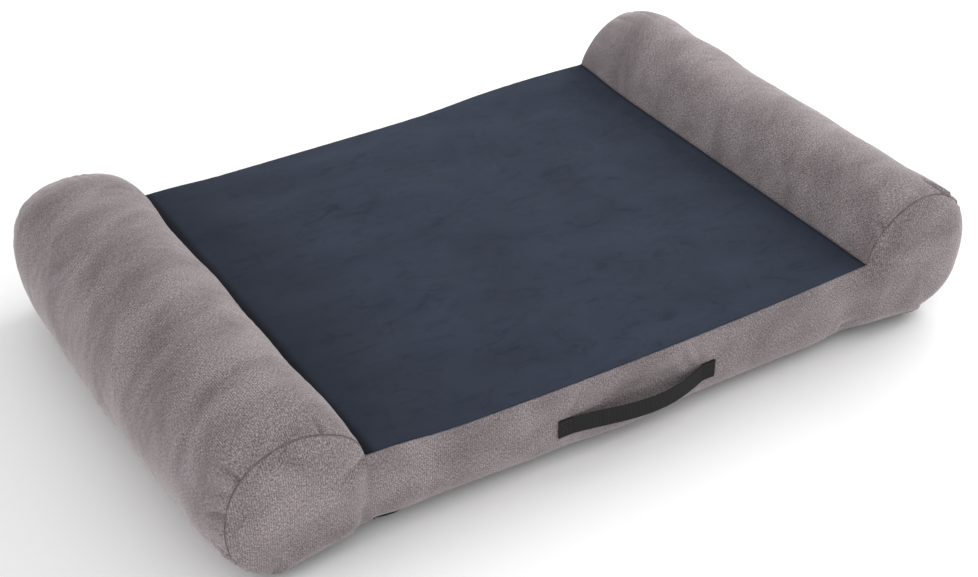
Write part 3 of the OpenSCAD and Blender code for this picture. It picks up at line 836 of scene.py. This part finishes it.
def make_plain_weave(name, base, light, pitch):
    """Plain-woven polyester, nearly black: matt and flat, with a fine check of threads that are
    pitch metres apart."""
    material, tree = new_material(name, Roughness=0.85, Specular_IOR_Level=0.25)
    weave = add(tree, "ShaderNodeUVMap", uv_map="weave")
    place = add(tree, "ShaderNodeTexCoord", out="Object")
    warp, weft = [add(tree, "ShaderNodeTexWave", {"Vector": weave, "Scale": band_scale(pitch)},
                      "Fac", bands_direction=way) for way in "XY"]
    no_warp, no_weft = [add(tree, "ShaderNodeMath", {0: 1.0, 1: yarns}, operation="SUBTRACT")
                        for yarns in (warp, weft)]
    over, under = [add(tree, "ShaderNodeMath", {0: a, 1: b}, operation="MULTIPLY")
                   for a, b in ((warp, weft), (no_warp, no_weft))]
    threads = add(tree, "ShaderNodeMath", {0: over, 1: under}, operation="MAXIMUM")
    clouds = add(tree, "ShaderNodeTexNoise", {"Vector": place, "Scale": 35, "Detail": 4})
    colours = add(tree, "ShaderNodeValToRGB", {"Fac": summed(tree, (threads, 0.5), (clouds, 0.5))},
                  stops=((0.15, base), (0.75, light)))
    return finished(material, colours, threads, 0.0004, 0.6)


lining_fabric = make_plain_weave("woven_black_lining", "#1c1c1e", "#333336", 0.0008)
for side, name in ((-1, "left_divider"), (1, "right_divider")):
    z, share = np.meshgrid(np.linspace(DIVIDER_SINK + DIVIDER_FOOT, MAT_HEIGHT - DIVIDER_SINK, 24),
                           np.linspace(-1, 1, 100), indexing="ij")
    d = np.maximum(0, WALL_EDGE_R - z)
    half = SEAM_Y - DIVIDER_SINK - (WALL_EDGE_R - np.sqrt(WALL_EDGE_R ** 2 - d * d))
    ripple = DIVIDER_RIPPLE * np.sin(70 * share * half) * np.sin(math.pi * z / MAT_HEIGHT)
    points = fuller(stack(side * (SEAM_X + SEAM_GAP + DIVIDER_T) + ripple, share * half, z))
    piece = cloth_piece(name, points, points[..., 1:], lining_fabric, DIVIDER_T)
    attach(piece, "mattress")
    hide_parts(name)

# ---- Base panel ----
# The underside is cut from black woven cloth, with rows of small rubber dots that keep the bed
# from sliding. Its edge turns up to the seam with the walls.
DOT_PITCH = 0.012
DOT_R = 0.0016
DOT_H = 0.0004
DOTS_X, DOTS_Y = 0.444, 0.288
# Rings of a dot, from inside the cloth down to the floor: share of its radius, and height
DOT_RINGS = ((1.0, DOT_H + 0.0004), (0.9, DOT_H * 0.4), (0.5, 0.0))


def moulded(name, grain, dark, light, relief, depth, strength, **shader_values):
    """A moulded polymer with a fine relief. grain and relief are scale and detail of a noise."""
    material, tree = new_material(name, **shader_values)
    place = add(tree, "ShaderNodeTexCoord", out="Object")
    clouds, bumps = [add(tree, "ShaderNodeTexNoise", {"Vector": place, "Scale": scale,
                         "Detail": detail}) for scale, detail in (grain, relief)]
    colours = add(tree, "ShaderNodeValToRGB", {"Fac": clouds}, stops=((0.3, dark), (0.7, light)))
    return finished(material, colours, bumps, depth, strength)


def new_group(name, **inputs):
    """A geometry node group with named inputs, which are returned too."""
    group = bpy.data.node_groups.new(name, "GeometryNodeTree")
    group.interface.new_socket(name="Geometry", in_out="OUTPUT",
                               socket_type="NodeSocketGeometry")
    for label, kind in {"Geometry": "Geometry", **inputs}.items():
        group.interface.new_socket(name=label, in_out="INPUT", socket_type="NodeSocket" + kind)
    return group, group.nodes.new("NodeGroupInput").outputs


def placed_on(group, given, points, label, **turned):
    """Ends a group: the object of the input called label stands on every point."""
    thing = add(group, "GeometryNodeObjectInfo", {"Object": given[label]}, "Geometry")
    placed = add(group, "GeometryNodeInstanceOnPoints", {"Points": points, "Instance": thing,
                 **turned})
    real = add(group, "GeometryNodeRealizeInstances", {0: placed})
    painted = add(group, "GeometryNodeSetMaterial", {"Geometry": real,
                  "Material": given["Material"]})
    group.links.new(painted, group.nodes.new("NodeGroupOutput").inputs["Geometry"])
    return group


def run_nodes(piece, group, **values):
    """Runs a node group on the piece. Its inputs are set by their names."""
    modifier = piece.modifiers.new(group.name, "NODES")
    modifier.node_group = group
    for item in group.interface.items_tree:
        if item.item_type == "SOCKET" and item.in_out == "INPUT" and item.name in values:
            modifier[item.identifier] = values[item.name]
    return applied(piece)


def dots_group():
    """Puts a dot on every point."""
    group, given = new_group("Rubber dots", Dot="Object", Material="Material")
    return placed_on(group, given, given["Geometry"], "Dot")


# Rubber, moulded onto the cloth in dots: black and slightly shiny, with a faint grain of 1 mm
rubber = moulded("rubber_dots", (60, 3), "#0f0f10", "#1e1e1f", (900, 2), 0.0001, 0.5,
                 Roughness=0.6, Specular_IOR_Level=0.4)
base_fabric = make_plain_weave("woven_black_base", "#141415", "#2b2b2d", 0.0012)
base_panel = cloth_piece("base_panel", SETTLED["base"], COVER["base"][1], base_fabric, COVER_T)
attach(base_panel, "mattress")
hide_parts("base_panel")

a = np.linspace(0, 2 * math.pi, 8, endpoint=False)
dome = [stack(DOT_R * s * np.cos(a), DOT_R * s * np.sin(a), h) for s, h in DOT_RINGS]
dot = lofted("dot", dome, rubber)
dot_x, dot_y = np.meshgrid(np.arange(-DOTS_X, DOTS_X + 0.0001, DOT_PITCH),
                           np.arange(-DOTS_Y, DOTS_Y + 0.0001, DOT_PITCH))
dot_x = dot_x + DOT_PITCH / 2 * (np.round(dot_y / DOT_PITCH) % 2)
base_dots = mesh_object("base_dots", stack(dot_x, dot_y, 0).reshape(-1, 3), [], rubber)
run_nodes(base_dots, dots_group(), Dot=dot, Material=rubber)
bpy.data.objects.remove(dot)
base_dots.data.shade_smooth()
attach(base_dots, "mattress")

# ---- Bolster covers ----
# The chenille cover of each bolster is one long piece, sewn to the edge of the mat. It runs over
# the bolster and down its outer side, and ends in the seam with the base.


def cover_piece(name, key, material, **more):
    """A piece of the settled cover, with shade painted into its creases and seams."""
    return cloth_piece(name, SETTLED[key], COVER[key][1], material, COVER_T,
                       painted_shade=SHADE_MAPS[key], **more)


# Chenille: a flat weave of soft cut yarn about 1 mm thick, in ribs 2.6 mm apart. The yarn lies in
# patches, so that the cloth looks lighter or darker, and shade is painted dark into its creases
# and seams.
material, tree = new_material(
    "chenille_mauve_grey", Roughness=0.95, Sheen_Weight=0.8, Sheen_Roughness=0.36,
    Sheen_Tint=linear("#e8dfe0"), Specular_IOR_Level=0.15)
weave = add(tree, "ShaderNodeUVMap", uv_map="weave")
along = add(tree, "ShaderNodeMapping", {"Vector": weave, "Scale": (1, 0.3, 1)})
slubs = add(tree, "ShaderNodeTexNoise", {"Vector": along, "Scale": 1000, "Detail": 4,
            "Roughness": 0.75})
across = add(tree, "ShaderNodeMapping", {"Vector": weave, "Scale": (0.34, 1, 1)})
picks = add(tree, "ShaderNodeTexNoise", {"Vector": across, "Scale": 950, "Detail": 4,
            "Roughness": 0.75})
ribs = add(tree, "ShaderNodeTexWave", {"Vector": weave, "Scale": band_scale(0.0026),
           "Distortion": 3.0, "Detail": 1.0, "Detail Scale": 220}, "Fac")
yarn = summed(tree, (slubs, 0.49), (picks, 0.47), (ribs, 0.04))
cloth = add(tree, "ShaderNodeValToRGB", {"Fac": yarn},
            stops=((0.42, "#5a5153"), (0.50, "#857d7f"), (0.58, "#b6aeb0")))
place = add(tree, "ShaderNodeTexCoord", out="Object")
slanted = add(tree, "ShaderNodeMapping", {"Vector": place, "Rotation": (0, 0, -0.4)})
drawn_out = add(tree, "ShaderNodeMapping", {"Vector": slanted, "Scale": (0.5, 1.3, 0.9)})
patches = add(tree, "ShaderNodeTexNoise", {"Vector": drawn_out, "Scale": 17, "Detail": 4,
              "Roughness": 0.55, "Distortion": 0.4})
lie = add(tree, "ShaderNodeValToRGB", {"Fac": patches},
          stops=((0.34, "#d7d4d4"), (0.62, "#fdfcfc")))
cloth = add(tree, "ShaderNodeMix", {"Factor": 1.0, 6: cloth, 7: lie}, 2, data_type="RGBA",
            blend_type="MULTIPLY")
# Painted shade: the cloth is darkened where its creases and seams lie in shadow
shade_mask = add(tree, "ShaderNodeAttribute", out="Fac", attribute_name="painted_shade")
cloth = add(tree, "ShaderNodeMix", {"Factor": shade_mask, 6: cloth, 7: linear("#3d3638")}, 2,
            data_type="RGBA")
chenille = finished(material, cloth, yarn, 0.0011, 0.7)

for key, name in (("left", "left_bolster_cover"), ("right", "right_bolster_cover")):
    side = -1 if key == "left" else 1
    piece = cover_piece(name, key, chenille, centre=(side * BOLSTER_X, 0, BOLSTER_RZ))
    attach(piece, "mattress")
    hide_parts(name)

# ---- Front and back panels ----
# The wall of the mat and both round ends are cut in one piece of chenille, front and back. The
# back panel has the slot for the zip.
ZIP_SLOT = 0.009
stop_low, stop_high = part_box("zip_end_stops")
SLOT_END = 0.002
# The cloth is drawn to the ends of the slot in full below the first distance, and not at all above
# the second
SLOT_PULL = (0.008, 0.030)
CORNER_MARGIN = 0.01
ZIP_Z = (stop_low.z + stop_high.z) / 2
ZIP_HALF = stop_high.x + SLOT_END


def slot_cut(points, weave):
    """Moves the nearest rows and columns of the back panel to the edges of the zip's slot, and
    says which cells are open."""
    z = points[..., 2]
    middle = points.shape[1] // 2
    for edge in (ZIP_Z - ZIP_SLOT / 2, ZIP_Z + ZIP_SLOT / 2):
        row = np.argmin(np.abs(z[:, middle] - edge))
        share = (edge - z[row]) * (np.abs(points[row, :, 0]) < SEAM_X - CORNER_MARGIN)
        points[row, :, 2] += share
        weave[row, :, 1] += share
    for edge in (-ZIP_HALF, ZIP_HALF):
        column = np.argmin(np.abs(points[points.shape[0] // 2, :, 0] - edge))
        near = ease(SLOT_PULL[1], SLOT_PULL[0], np.abs(points[:, column, 2] - ZIP_Z))
        share = near * (edge - points[:, column, 0])
        points[:, column, 0] += share
        weave[:, column, 0] += share
    x, z = points[..., 0], points[..., 2]
    middle_x = (x[:-1, :-1] + x[1:, 1:]) / 2
    middle_z = (z[:-1, :-1] + z[1:, 1:]) / 2
    return (np.abs(middle_x) < ZIP_HALF) & (np.abs(middle_z - ZIP_Z) < ZIP_SLOT / 2)


front_panel = cover_piece("front_panel", "front", chenille)
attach(front_panel, "mattress")
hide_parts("front_panel")

slot = slot_cut(SETTLED["back"], COVER["back"][1])
back_panel = cover_piece("back_panel", "back", chenille, hole=slot)
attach(back_panel, "mattress")
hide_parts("back_panel")

# ---- Lying surface ----
# A rectangle of navy microsuede with a short brushed pile. Its long edges are sewn to the walls
# and its short ones to the covers of the bolsters.

# Microsuede: a dense short pile that shades softly where it is brushed one way or the other. Its
# nap is drawn 0.7 mm coarse, because the real one is too fine to show.
material, tree = new_material(
    "microsuede_navy", Roughness=0.9, Sheen_Weight=0.30, Sheen_Roughness=0.35,
    Sheen_Tint=linear("#8f9bb0"), Specular_IOR_Level=0.12)
place = add(tree, "ShaderNodeTexCoord", out="Object")
wide = add(tree, "ShaderNodeMapping", {"Vector": place, "Scale": (1, 1.4, 1)})
brushed = add(tree, "ShaderNodeTexNoise", {"Vector": wide, "Scale": 9, "Detail": 8,
              "Roughness": 0.66, "Distortion": 0.6})
short = add(tree, "ShaderNodeMapping", {"Vector": place, "Scale": (1, 1.9, 1)})
strokes = add(tree, "ShaderNodeTexNoise", {"Vector": short, "Scale": 26, "Detail": 7,
              "Roughness": 0.72, "Distortion": 0.9})
weave = add(tree, "ShaderNodeUVMap", uv_map="weave")
nap = add(tree, "ShaderNodeTexNoise", {"Vector": weave, "Scale": 1400, "Detail": 2,
          "Roughness": 0.6})
pile = add(tree, "ShaderNodeValToRGB", {"Fac": brushed},
           stops=((0.30, "#303643"), (0.70, "#383f4e")))
for shading, stops in ((nap, ((0.3, "#d8d8d8"), (0.7, "#ffffff"))),
                       (strokes, ((0.30, "#d8dbde"), (0.47, "#ffffff")))):
    tint = add(tree, "ShaderNodeValToRGB", {"Fac": shading}, stops=stops)
    pile = add(tree, "ShaderNodeMix", {"Factor": 1.0, 6: pile, 7: tint}, 2, data_type="RGBA",
               blend_type="MULTIPLY")
# Painted shade: the pile is darker along the left bolster, which shades it, and in the shadowed
# groove along both bolsters
from_left = add(tree, "ShaderNodeSeparateXYZ", {0: place}, "X")
edge = add(tree, "ShaderNodeMapRange", {"Value": from_left, "From Min": -0.17, "From Max": -0.33,
           "To Max": 0.34}, interpolation_type="SMOOTHSTEP")
shade_mask = add(tree, "ShaderNodeAttribute", out="Fac", attribute_name="painted_shade")
for share, dark in ((edge, "#14171f"), (shade_mask, "#0a0b0e")):
    pile = add(tree, "ShaderNodeMix", {"Factor": share, 6: pile, 7: linear(dark)}, 2,
               data_type="RGBA")
microsuede = finished(material, pile, nap, 0.0005, 0.5)

top_panel = cover_piece("top_panel", "top", microsuede)
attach(top_panel, "mattress")
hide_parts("top_panel")

# ---- Handle ----
# One length of ribbed black webbing. Its ends are folded under and sewn to the front wall with a
# box of stitches, and the middle stands off the wall in a bow.
WEB_T = 0.0014
RIB_PITCH = 0.0019
RIB_H = 0.00016
# How far the strap stands off, as a share of the CAD bow, and how far to the right it does most
BOW_SHARE = 0.9
STRAP_LEAN = 1.25
EDGE_POINTS = 5
SIDE_POINTS = 8


def ribbon(name, path, width, thickness, material, rib_pitch=RIB_PITCH, rib_h=RIB_H, start=0.0):
    """Woven tape on edge: path is its middle line in plan, and width its low and high edges."""
    path = np.asarray(path, float)
    length = np.concatenate([[0], np.cumsum(np.linalg.norm(np.diff(path, axis=0), axis=1))])
    s = np.linspace(0, length[-1], max(4, round(length[-1] / (rib_pitch / 6))))
    line = stack(np.interp(s, length, path[:, 0]), np.interp(s, length, path[:, 1]))
    ahead = unit(np.gradient(line, axis=0))
    out = stack(ahead[:, 1], -ahead[:, 0])
    swell = rib_h * (np.abs(np.cos(math.pi * (s + start) / rib_pitch)) - 1)
    low, high = width
    edge = thickness / 2
    turn = np.linspace(0, math.pi / 2, EDGE_POINTS)
    side_z = np.concatenate([np.linspace(low + edge, high - edge, SIDE_POINTS + 2)[1:-1],
                             high - edge + edge * np.sin(turn)])
    side_t = np.concatenate([np.ones(SIDE_POINTS), np.cos(turn)])
    under = low + edge - edge * np.sin(turn)
    ring_z = np.concatenate([side_z, side_z[::-1], under, under[::-1]])
    ring_t = np.concatenate([side_t, -side_t[::-1], -np.cos(turn), np.cos(turn)[::-1]])
    rings = [np.column_stack([np.tile(line[k], (len(ring_z), 1))
                              + out[k] * (ring_t * (edge + swell[k]))[:, None], ring_z])
             for k in range(len(s))]
    weave = stack(np.repeat(s + start, len(ring_z)), np.tile(ring_z, len(s)))
    piece = lofted(name, rings, material, weave)
    weld = piece.modifiers.new("weld", "WELD")
    weld.merge_threshold = 1e-6
    return applied(piece)


# Woven polypropylene webbing: black and dull, with close cross ribs that catch the light
material, tree = new_material("webbing_black", Roughness=0.75, Specular_IOR_Level=0.2)
weave = add(tree, "ShaderNodeUVMap", uv_map="weave")
across = add(tree, "ShaderNodeMapping", {"Vector": weave, "Scale": (3, 1, 1)})
fibres = add(tree, "ShaderNodeTexNoise", {"Vector": across, "Scale": 500, "Detail": 3,
             "Roughness": 0.6})
ribs = add(tree, "ShaderNodeTexWave", {"Vector": weave, "Scale": band_scale(RIB_PITCH)}, "Fac")
tone = summed(tree, (ribs, 0.5), (fibres, 0.5))
colours = add(tree, "ShaderNodeValToRGB", {"Fac": tone},
              stops=((0.25, "#0b0b0c"), (0.75, "#2e2d2f")))
webbing = finished(material, colours, tone, 0.0004, 0.6)

left_tab_low, left_tab_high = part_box("handle_left_tab")
right_tab_low, right_tab_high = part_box("handle_right_tab")
grip_low, grip_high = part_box("handle_grip")
WEB_Z = (grip_low.z, grip_high.z)
TAB_Y = left_tab_high.y
STRAP_FROM, STRAP_TO = left_tab_high.x, right_tab_low.x
HANDLE_BOW = BOW_SHARE * (TAB_Y - WEB_T - grip_low.y - WEB_T)


def strap_line(from_x, to_x):
    """Middle line of the free strap in plan."""
    x = np.linspace(from_x, to_x, 80)
    share = (x - STRAP_FROM) / (STRAP_TO - STRAP_FROM)
    out = HANDLE_BOW * np.maximum(0, np.sin(math.pi * share ** STRAP_LEAN))
    return stack(x, TAB_Y - 1.5 * WEB_T - out)


def tab_line(side):
    """Middle line of a sewn end: in along the wall, round the fold, and back on top."""
    inner_x = STRAP_FROM if side < 0 else STRAP_TO
    outer_x = (left_tab_low.x if side < 0 else right_tab_high.x) - side * WEB_T
    a = np.linspace(0, math.pi, 12)
    fold = stack(outer_x + side * WEB_T / 2 * np.sin(a), TAB_Y - WEB_T + WEB_T / 2 * np.cos(a))
    return np.concatenate([[[inner_x, fold[0, 1]]], fold, [[inner_x, fold[-1, 1]]]])


CUT = 0.0001
left_cut, right_cut = grip_low.x, grip_high.x
parts = [("handle_left_tab", tab_line(-1), "mattress"),
         ("handle_right_tab", tab_line(1), "mattress"),
         ("handle_left_web", strap_line(STRAP_FROM, left_cut - CUT), None),
         ("handle_right_web", strap_line(right_cut + CUT, STRAP_TO), None),
         ("handle_grip", strap_line(left_cut, right_cut), "handle")]
for name, line, body in parts:
    piece = ribbon(name, line, WEB_Z, WEB_T, webbing, start=float(line[0, 0]) + 1)
    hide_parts(name)
    if body:
        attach(piece, body)
    elif name == "handle_left_web":
        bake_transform(piece)
    else:
        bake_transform(piece)

# ---- Stitches of the handle ----
# A box with a cross in it at each end of the handle, sewn in black polyester thread through both
# layers of the webbing and the wall.
STITCH = 0.0024
STITCH_PITCH = 0.0036
THREAD_R = 0.00028
THREAD_LIFT = THREAD_R * 0.4
STITCH_INSET = 0.0026
# Thickness of a stitch at its ends and what the middle has more, and how deep its ends dip, in
# radii of the thread
STITCH_THIN, STITCH_SWELL, STITCH_DIP = 0.45, 0.55, 1.2


def stitch_group():
    """Lays stitches a pitch apart along the edges of a mesh, flat on the cloth they face."""
    group, given = new_group("Stitches", Stitch="Object", Pitch="Float", Facing="Vector",
                             Material="Material")
    lines = add(group, "GeometryNodeMeshToCurve", {"Mesh": given["Geometry"]})
    spaced = add(group, "GeometryNodeResampleCurve", {"Curve": lines, "Length": given["Pitch"]},
                 mode="LENGTH")
    tangent = add(group, "GeometryNodeInputTangent")
    along = add(group, "FunctionNodeAlignRotationToVector", {"Vector": tangent}, axis="X")
    turned = add(group, "FunctionNodeAlignRotationToVector", {"Rotation": along,
                 "Vector": given["Facing"]}, axis="Z", pivot_axis="X")
    return placed_on(group, given, spaced, "Stitch", Rotation=turned)


def make_stitch(length, radius, material):
    """One stitch: thread that dips into the cloth at both ends."""
    around = np.linspace(0, 2 * math.pi, 8, endpoint=False)
    rings = []
    for share in np.linspace(-1, 1, 7):
        thick = radius * (STITCH_THIN + STITCH_SWELL * math.sqrt(max(0, 1 - share ** 2)))
        dip = -STITCH_DIP * radius * share ** 2
        rings.append(stack(share * length / 2, thick * np.cos(around),
                           dip + thick * np.sin(around)))
    return lofted("stitch", rings, material)


# Twisted polyester thread: nearly black with a soft shine, and fine slanted plies 0.5 mm apart
material, tree = new_material("polyester_thread", Roughness=0.5, Specular_IOR_Level=0.4)
place = add(tree, "ShaderNodeTexCoord", out="Object")
twist = add(tree, "ShaderNodeTexWave", {"Vector": place, "Scale": band_scale(0.0005)}, "Fac",
            bands_direction="DIAGONAL")
colours = add(tree, "ShaderNodeValToRGB", {"Fac": twist},
              stops=((0.2, "#18181a"), (0.8, "#2c2c2f")))
thread = finished(material, colours, twist, 0.0001, 0.5)

stitches = stitch_group()
stitch = make_stitch(STITCH, THREAD_R, thread)
for name, low, high in (("handle_left_stitching", left_tab_low, left_tab_high),
                        ("handle_right_stitching", right_tab_low, right_tab_high)):
    x0, x1 = low.x + STITCH_INSET, high.x - STITCH_INSET
    z0, z1 = low.z + STITCH_INSET, high.z - STITCH_INSET
    y = low.y - THREAD_LIFT
    corners = [(x0, y, z0), (x1, y, z0), (x1, y, z1), (x0, y, z1)]
    piece = mesh_object(name, corners + corners, [], thread,
                        edges=[(0, 1), (1, 2), (2, 3), (3, 0), (4, 6), (5, 7)])
    run_nodes(piece, stitches, Stitch=stitch, Pitch=STITCH_PITCH, Facing=(0.0, -1.0, 0.0),
              Material=thread)
    piece.data.shade_smooth()
    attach(piece, "mattress")
    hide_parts(name)

# ---- Zip ----
# A black zip behind the slot in the back wall: two woven tapes with a row of nylon teeth each, a
# slider, its puller and two end stops. The two edges of the slot are topstitched.


def teeth_group():
    """A row of teeth a pitch apart along X."""
    group, given = new_group("Zip teeth", Tooth="Object", Count="Int", Start="Vector",
                             Pitch="Vector", Turn="Vector", Material="Material")
    row = add(group, "GeometryNodeMeshLine", {"Count": given["Count"], "Offset": given["Pitch"],
              "Start Location": given["Start"]}, mode="OFFSET")
    turn = add(group, "FunctionNodeEulerToRotation", {0: given["Turn"]})
    return placed_on(group, given, row, "Tooth", Rotation=turn)


# Moulded nylon: black and smooth, with a small clear shine
nylon = moulded("nylon_teeth", (300, 2), "#151516", "#262628", (1500, 2), 0.00005, 0.4,
                Roughness=0.38, Specular_IOR_Level=0.5)
# Die-cast zinc under black lacquer: a dark, smooth metal that is rubbed paler in patches
material, tree = new_material("lacquered_zinc", Roughness=0.34, Metallic=0.75)
place = add(tree, "ShaderNodeTexCoord", out="Object")
worn = add(tree, "ShaderNodeTexNoise", {"Vector": place, "Scale": 220, "Detail": 5,
           "Roughness": 0.6})
colours = add(tree, "ShaderNodeValToRGB", {"Fac": worn},
              stops=((0.35, "#2e2e31"), (0.75, "#5f5f63")))
zinc = finished(material, colours, worn, 0.00008, 0.5)

zip_tape = make_plain_weave("woven_zip_tape", "#161617", "#2d2d2f", 0.0009)
upper_low, upper_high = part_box("zip_upper_teeth")
lower_low, lower_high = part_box("zip_lower_teeth")
# The edges of the two tapes nearly meet, so that the foam doesn't show between the rows of teeth
TAPE_REACH = 0.00045
for name, below, above in (("zip_upper_tape", TAPE_REACH, 0), ("zip_lower_tape", 0, TAPE_REACH)):
    low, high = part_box(name)
    y = (low.y + high.y) / 2
    piece = ribbon(name, [(low.x, y), (high.x, y)], (low.z - below, high.z + above),
                   high.y - low.y, zip_tape, rib_pitch=0.006, rib_h=0.00002)
    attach(piece, "mattress")
    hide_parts(name)

# One tooth: a body clamped on the tape, a neck and a wider head that points at the other row. Its
# left half: how far out, in quarters of the pitch, and how far from the head, as a share
TOOTH_PITCH = 0.004
TOOTH_HALF = [(-1, 1.0), (-1, 0.62), (-0.55, 0.5), (-0.55, 0.32), (-0.85, 0.18), (-0.5, 0.0)]
# Rings through its thickness: share of it, and how far the ring is drawn in
TOOTH_RINGS = ((0, 0.0), (0.75, 0.0), (1.0, 0.22))
tooth_reach = upper_high.z - upper_low.z
tooth_t = upper_high.y - upper_low.y
outline = TOOTH_HALF + [(-x, z) for x, z in TOOTH_HALF[::-1]]
outline = np.array(outline) * [TOOTH_PITCH / 4, 1]
tooth_rings = []
for y, inset in TOOTH_RINGS:
    ring = (outline - [0, 0.5]) * (1 - inset) + [0, 0.5]
    tooth_rings.append(stack(ring[:, 0], y * tooth_t, ring[:, 1] * tooth_reach))
tooth = lofted("tooth", tooth_rings, nylon)
teeth = teeth_group()
count = round((upper_high.x - upper_low.x) / TOOTH_PITCH) - 1
for name, low, high, up in (("zip_upper_teeth", upper_low, upper_high, 1),
                            ("zip_lower_teeth", lower_low, lower_high, -1)):
    piece = mesh_object(name, [(0, 0, 0)], [], nylon)
    start = low.x + TOOTH_PITCH * (0.5 if up > 0 else 1.0)
    run_nodes(piece, teeth, Tooth=tooth, Count=count, Pitch=(TOOTH_PITCH, 0.0, 0.0),
              Start=(start, low.y, low.z if up > 0 else high.z), Material=nylon,
              Turn=(0.0, 0.0 if up > 0 else math.pi, 0.0))
    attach(piece, "mattress")
    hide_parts(name)
bpy.data.objects.remove(tooth)

TOPSTITCH_GAP = 0.004
corner_x = ZIP_HALF + TOPSTITCH_GAP
places = []
for z in (ZIP_Z - ZIP_SLOT / 2 - TOPSTITCH_GAP, ZIP_Z + ZIP_SLOT / 2 + TOPSTITCH_GAP):
    places.append([(x, float(panel_y(np.array(x), np.array(z), 1)) + THREAD_LIFT, z)
                   for x in np.linspace(-corner_x, corner_x, 60)])
loop = places[0] + places[1][::-1]
slot_top = mesh_object("zip_topstitching", loop, [], thread,
                       edges=[(i, (i + 1) % len(loop)) for i in range(len(loop))])
run_nodes(slot_top, stitches, Stitch=stitch, Pitch=STITCH_PITCH, Facing=(0.0, 1.0, 0.0),
          Material=thread)
slot_top.data.shade_smooth()
bpy.data.objects.remove(stitch)
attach(slot_top, "mattress")

for name in ("zip_slider", "zip_puller", "zip_end_stops"):
    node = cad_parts[name]
    node.data.materials.clear()
    node.data.materials.append(zinc)

# ---- Floor, light and camera ----
# A white studio: a plain floor under an even white sky, one large soft lamp on the right that
# shades the cloth, and a small low one at the front left.


def white_for_camera(tree, shader, white, output, share=1.0):
    """Shows the camera plain white in place of the shader, by the share given."""
    seen = add(tree, "ShaderNodeLightPath", out="Is Camera Ray")
    shown = add(tree, "ShaderNodeMath", {0: seen, 1: share}, operation="MULTIPLY")
    plain = add(tree, white, {"Color": (1, 1, 1, 1), "Strength": 1.0})
    both = add(tree, "ShaderNodeMixShader", {0: shown, 1: shader.outputs[0], 2: plain})
    tree.links.new(both, tree.nodes[output].inputs["Surface"])


# A matt white floor. Well away from the bed the camera sees plain white, so it has no edge.
material, tree = new_material("white_floor", Roughness=0.9, Specular_IOR_Level=0.0)
shader = tree.nodes["Principled BSDF"]
shader.inputs["Base Color"].default_value = linear("#fdfdfd")
place = add(tree, "ShaderNodeTexCoord", out="Object")
away = add(tree, "ShaderNodeVectorMath", {0: place}, "Value", operation="LENGTH")
far = add(tree, "ShaderNodeMapRange", {"Value": away, "From Min": 1.1, "From Max": 2.2},
          interpolation_type="SMOOTHSTEP")
white_for_camera(tree, shader, "ShaderNodeEmission", "Material Output", far)
floor = mesh_object("floor", [(-9, -9, 0), (9, -9, 0), (9, 9, 0), (-9, 9, 0)], [(0, 1, 2, 3)],
                    material)

world = bpy.data.worlds.new("studio")
bpy.context.scene.world = world
world.use_nodes = True
tree = world.node_tree
sky = tree.nodes["Background"]
sky.inputs["Color"].default_value = (1, 1, 1, 1)
sky.inputs["Strength"].default_value = 0.9
white_for_camera(tree, sky, "ShaderNodeBackground", "World Output")


def softbox(name, width, height, energy, place):
    """A rectangular lamp that shines on the middle of the bed."""
    data = bpy.data.lights.new(name, "AREA")
    data.shape = "RECTANGLE"
    data.size, data.size_y = width, height
    data.energy = energy
    lamp = bpy.data.objects.new(name, data)
    lamp.location = place
    lamp.rotation_mode = "QUATERNION"
    lamp.rotation_quaternion = (-lamp.location).to_track_quat("-Z", "Y")
    bpy.context.scene.collection.objects.link(lamp)


softbox("softbox", 2.4, 1.8, 68, (2.8, 0.5, 1.6))
# The small one lights the lower half of the near bolster end
softbox("low_softbox", 0.8, 0.24, 3.2, (-0.85, -1.5, 0.14))

# The camera stands where the corners and the outline of the bed in the photo put it
camera_data = bpy.data.cameras.new("camera")
camera_data.lens = 61.80
camera_data.sensor_width = 36
camera = bpy.data.objects.new("camera", camera_data)
camera.location = (-0.98274, -1.58019, 1.31474)
camera.rotation_euler = (math.radians(55.378), 0, math.radians(-31.843))
bpy.context.scene.collection.objects.link(camera)
bpy.context.scene.camera = camera
bpy.context.scene.view_settings.view_transform = "Standard"
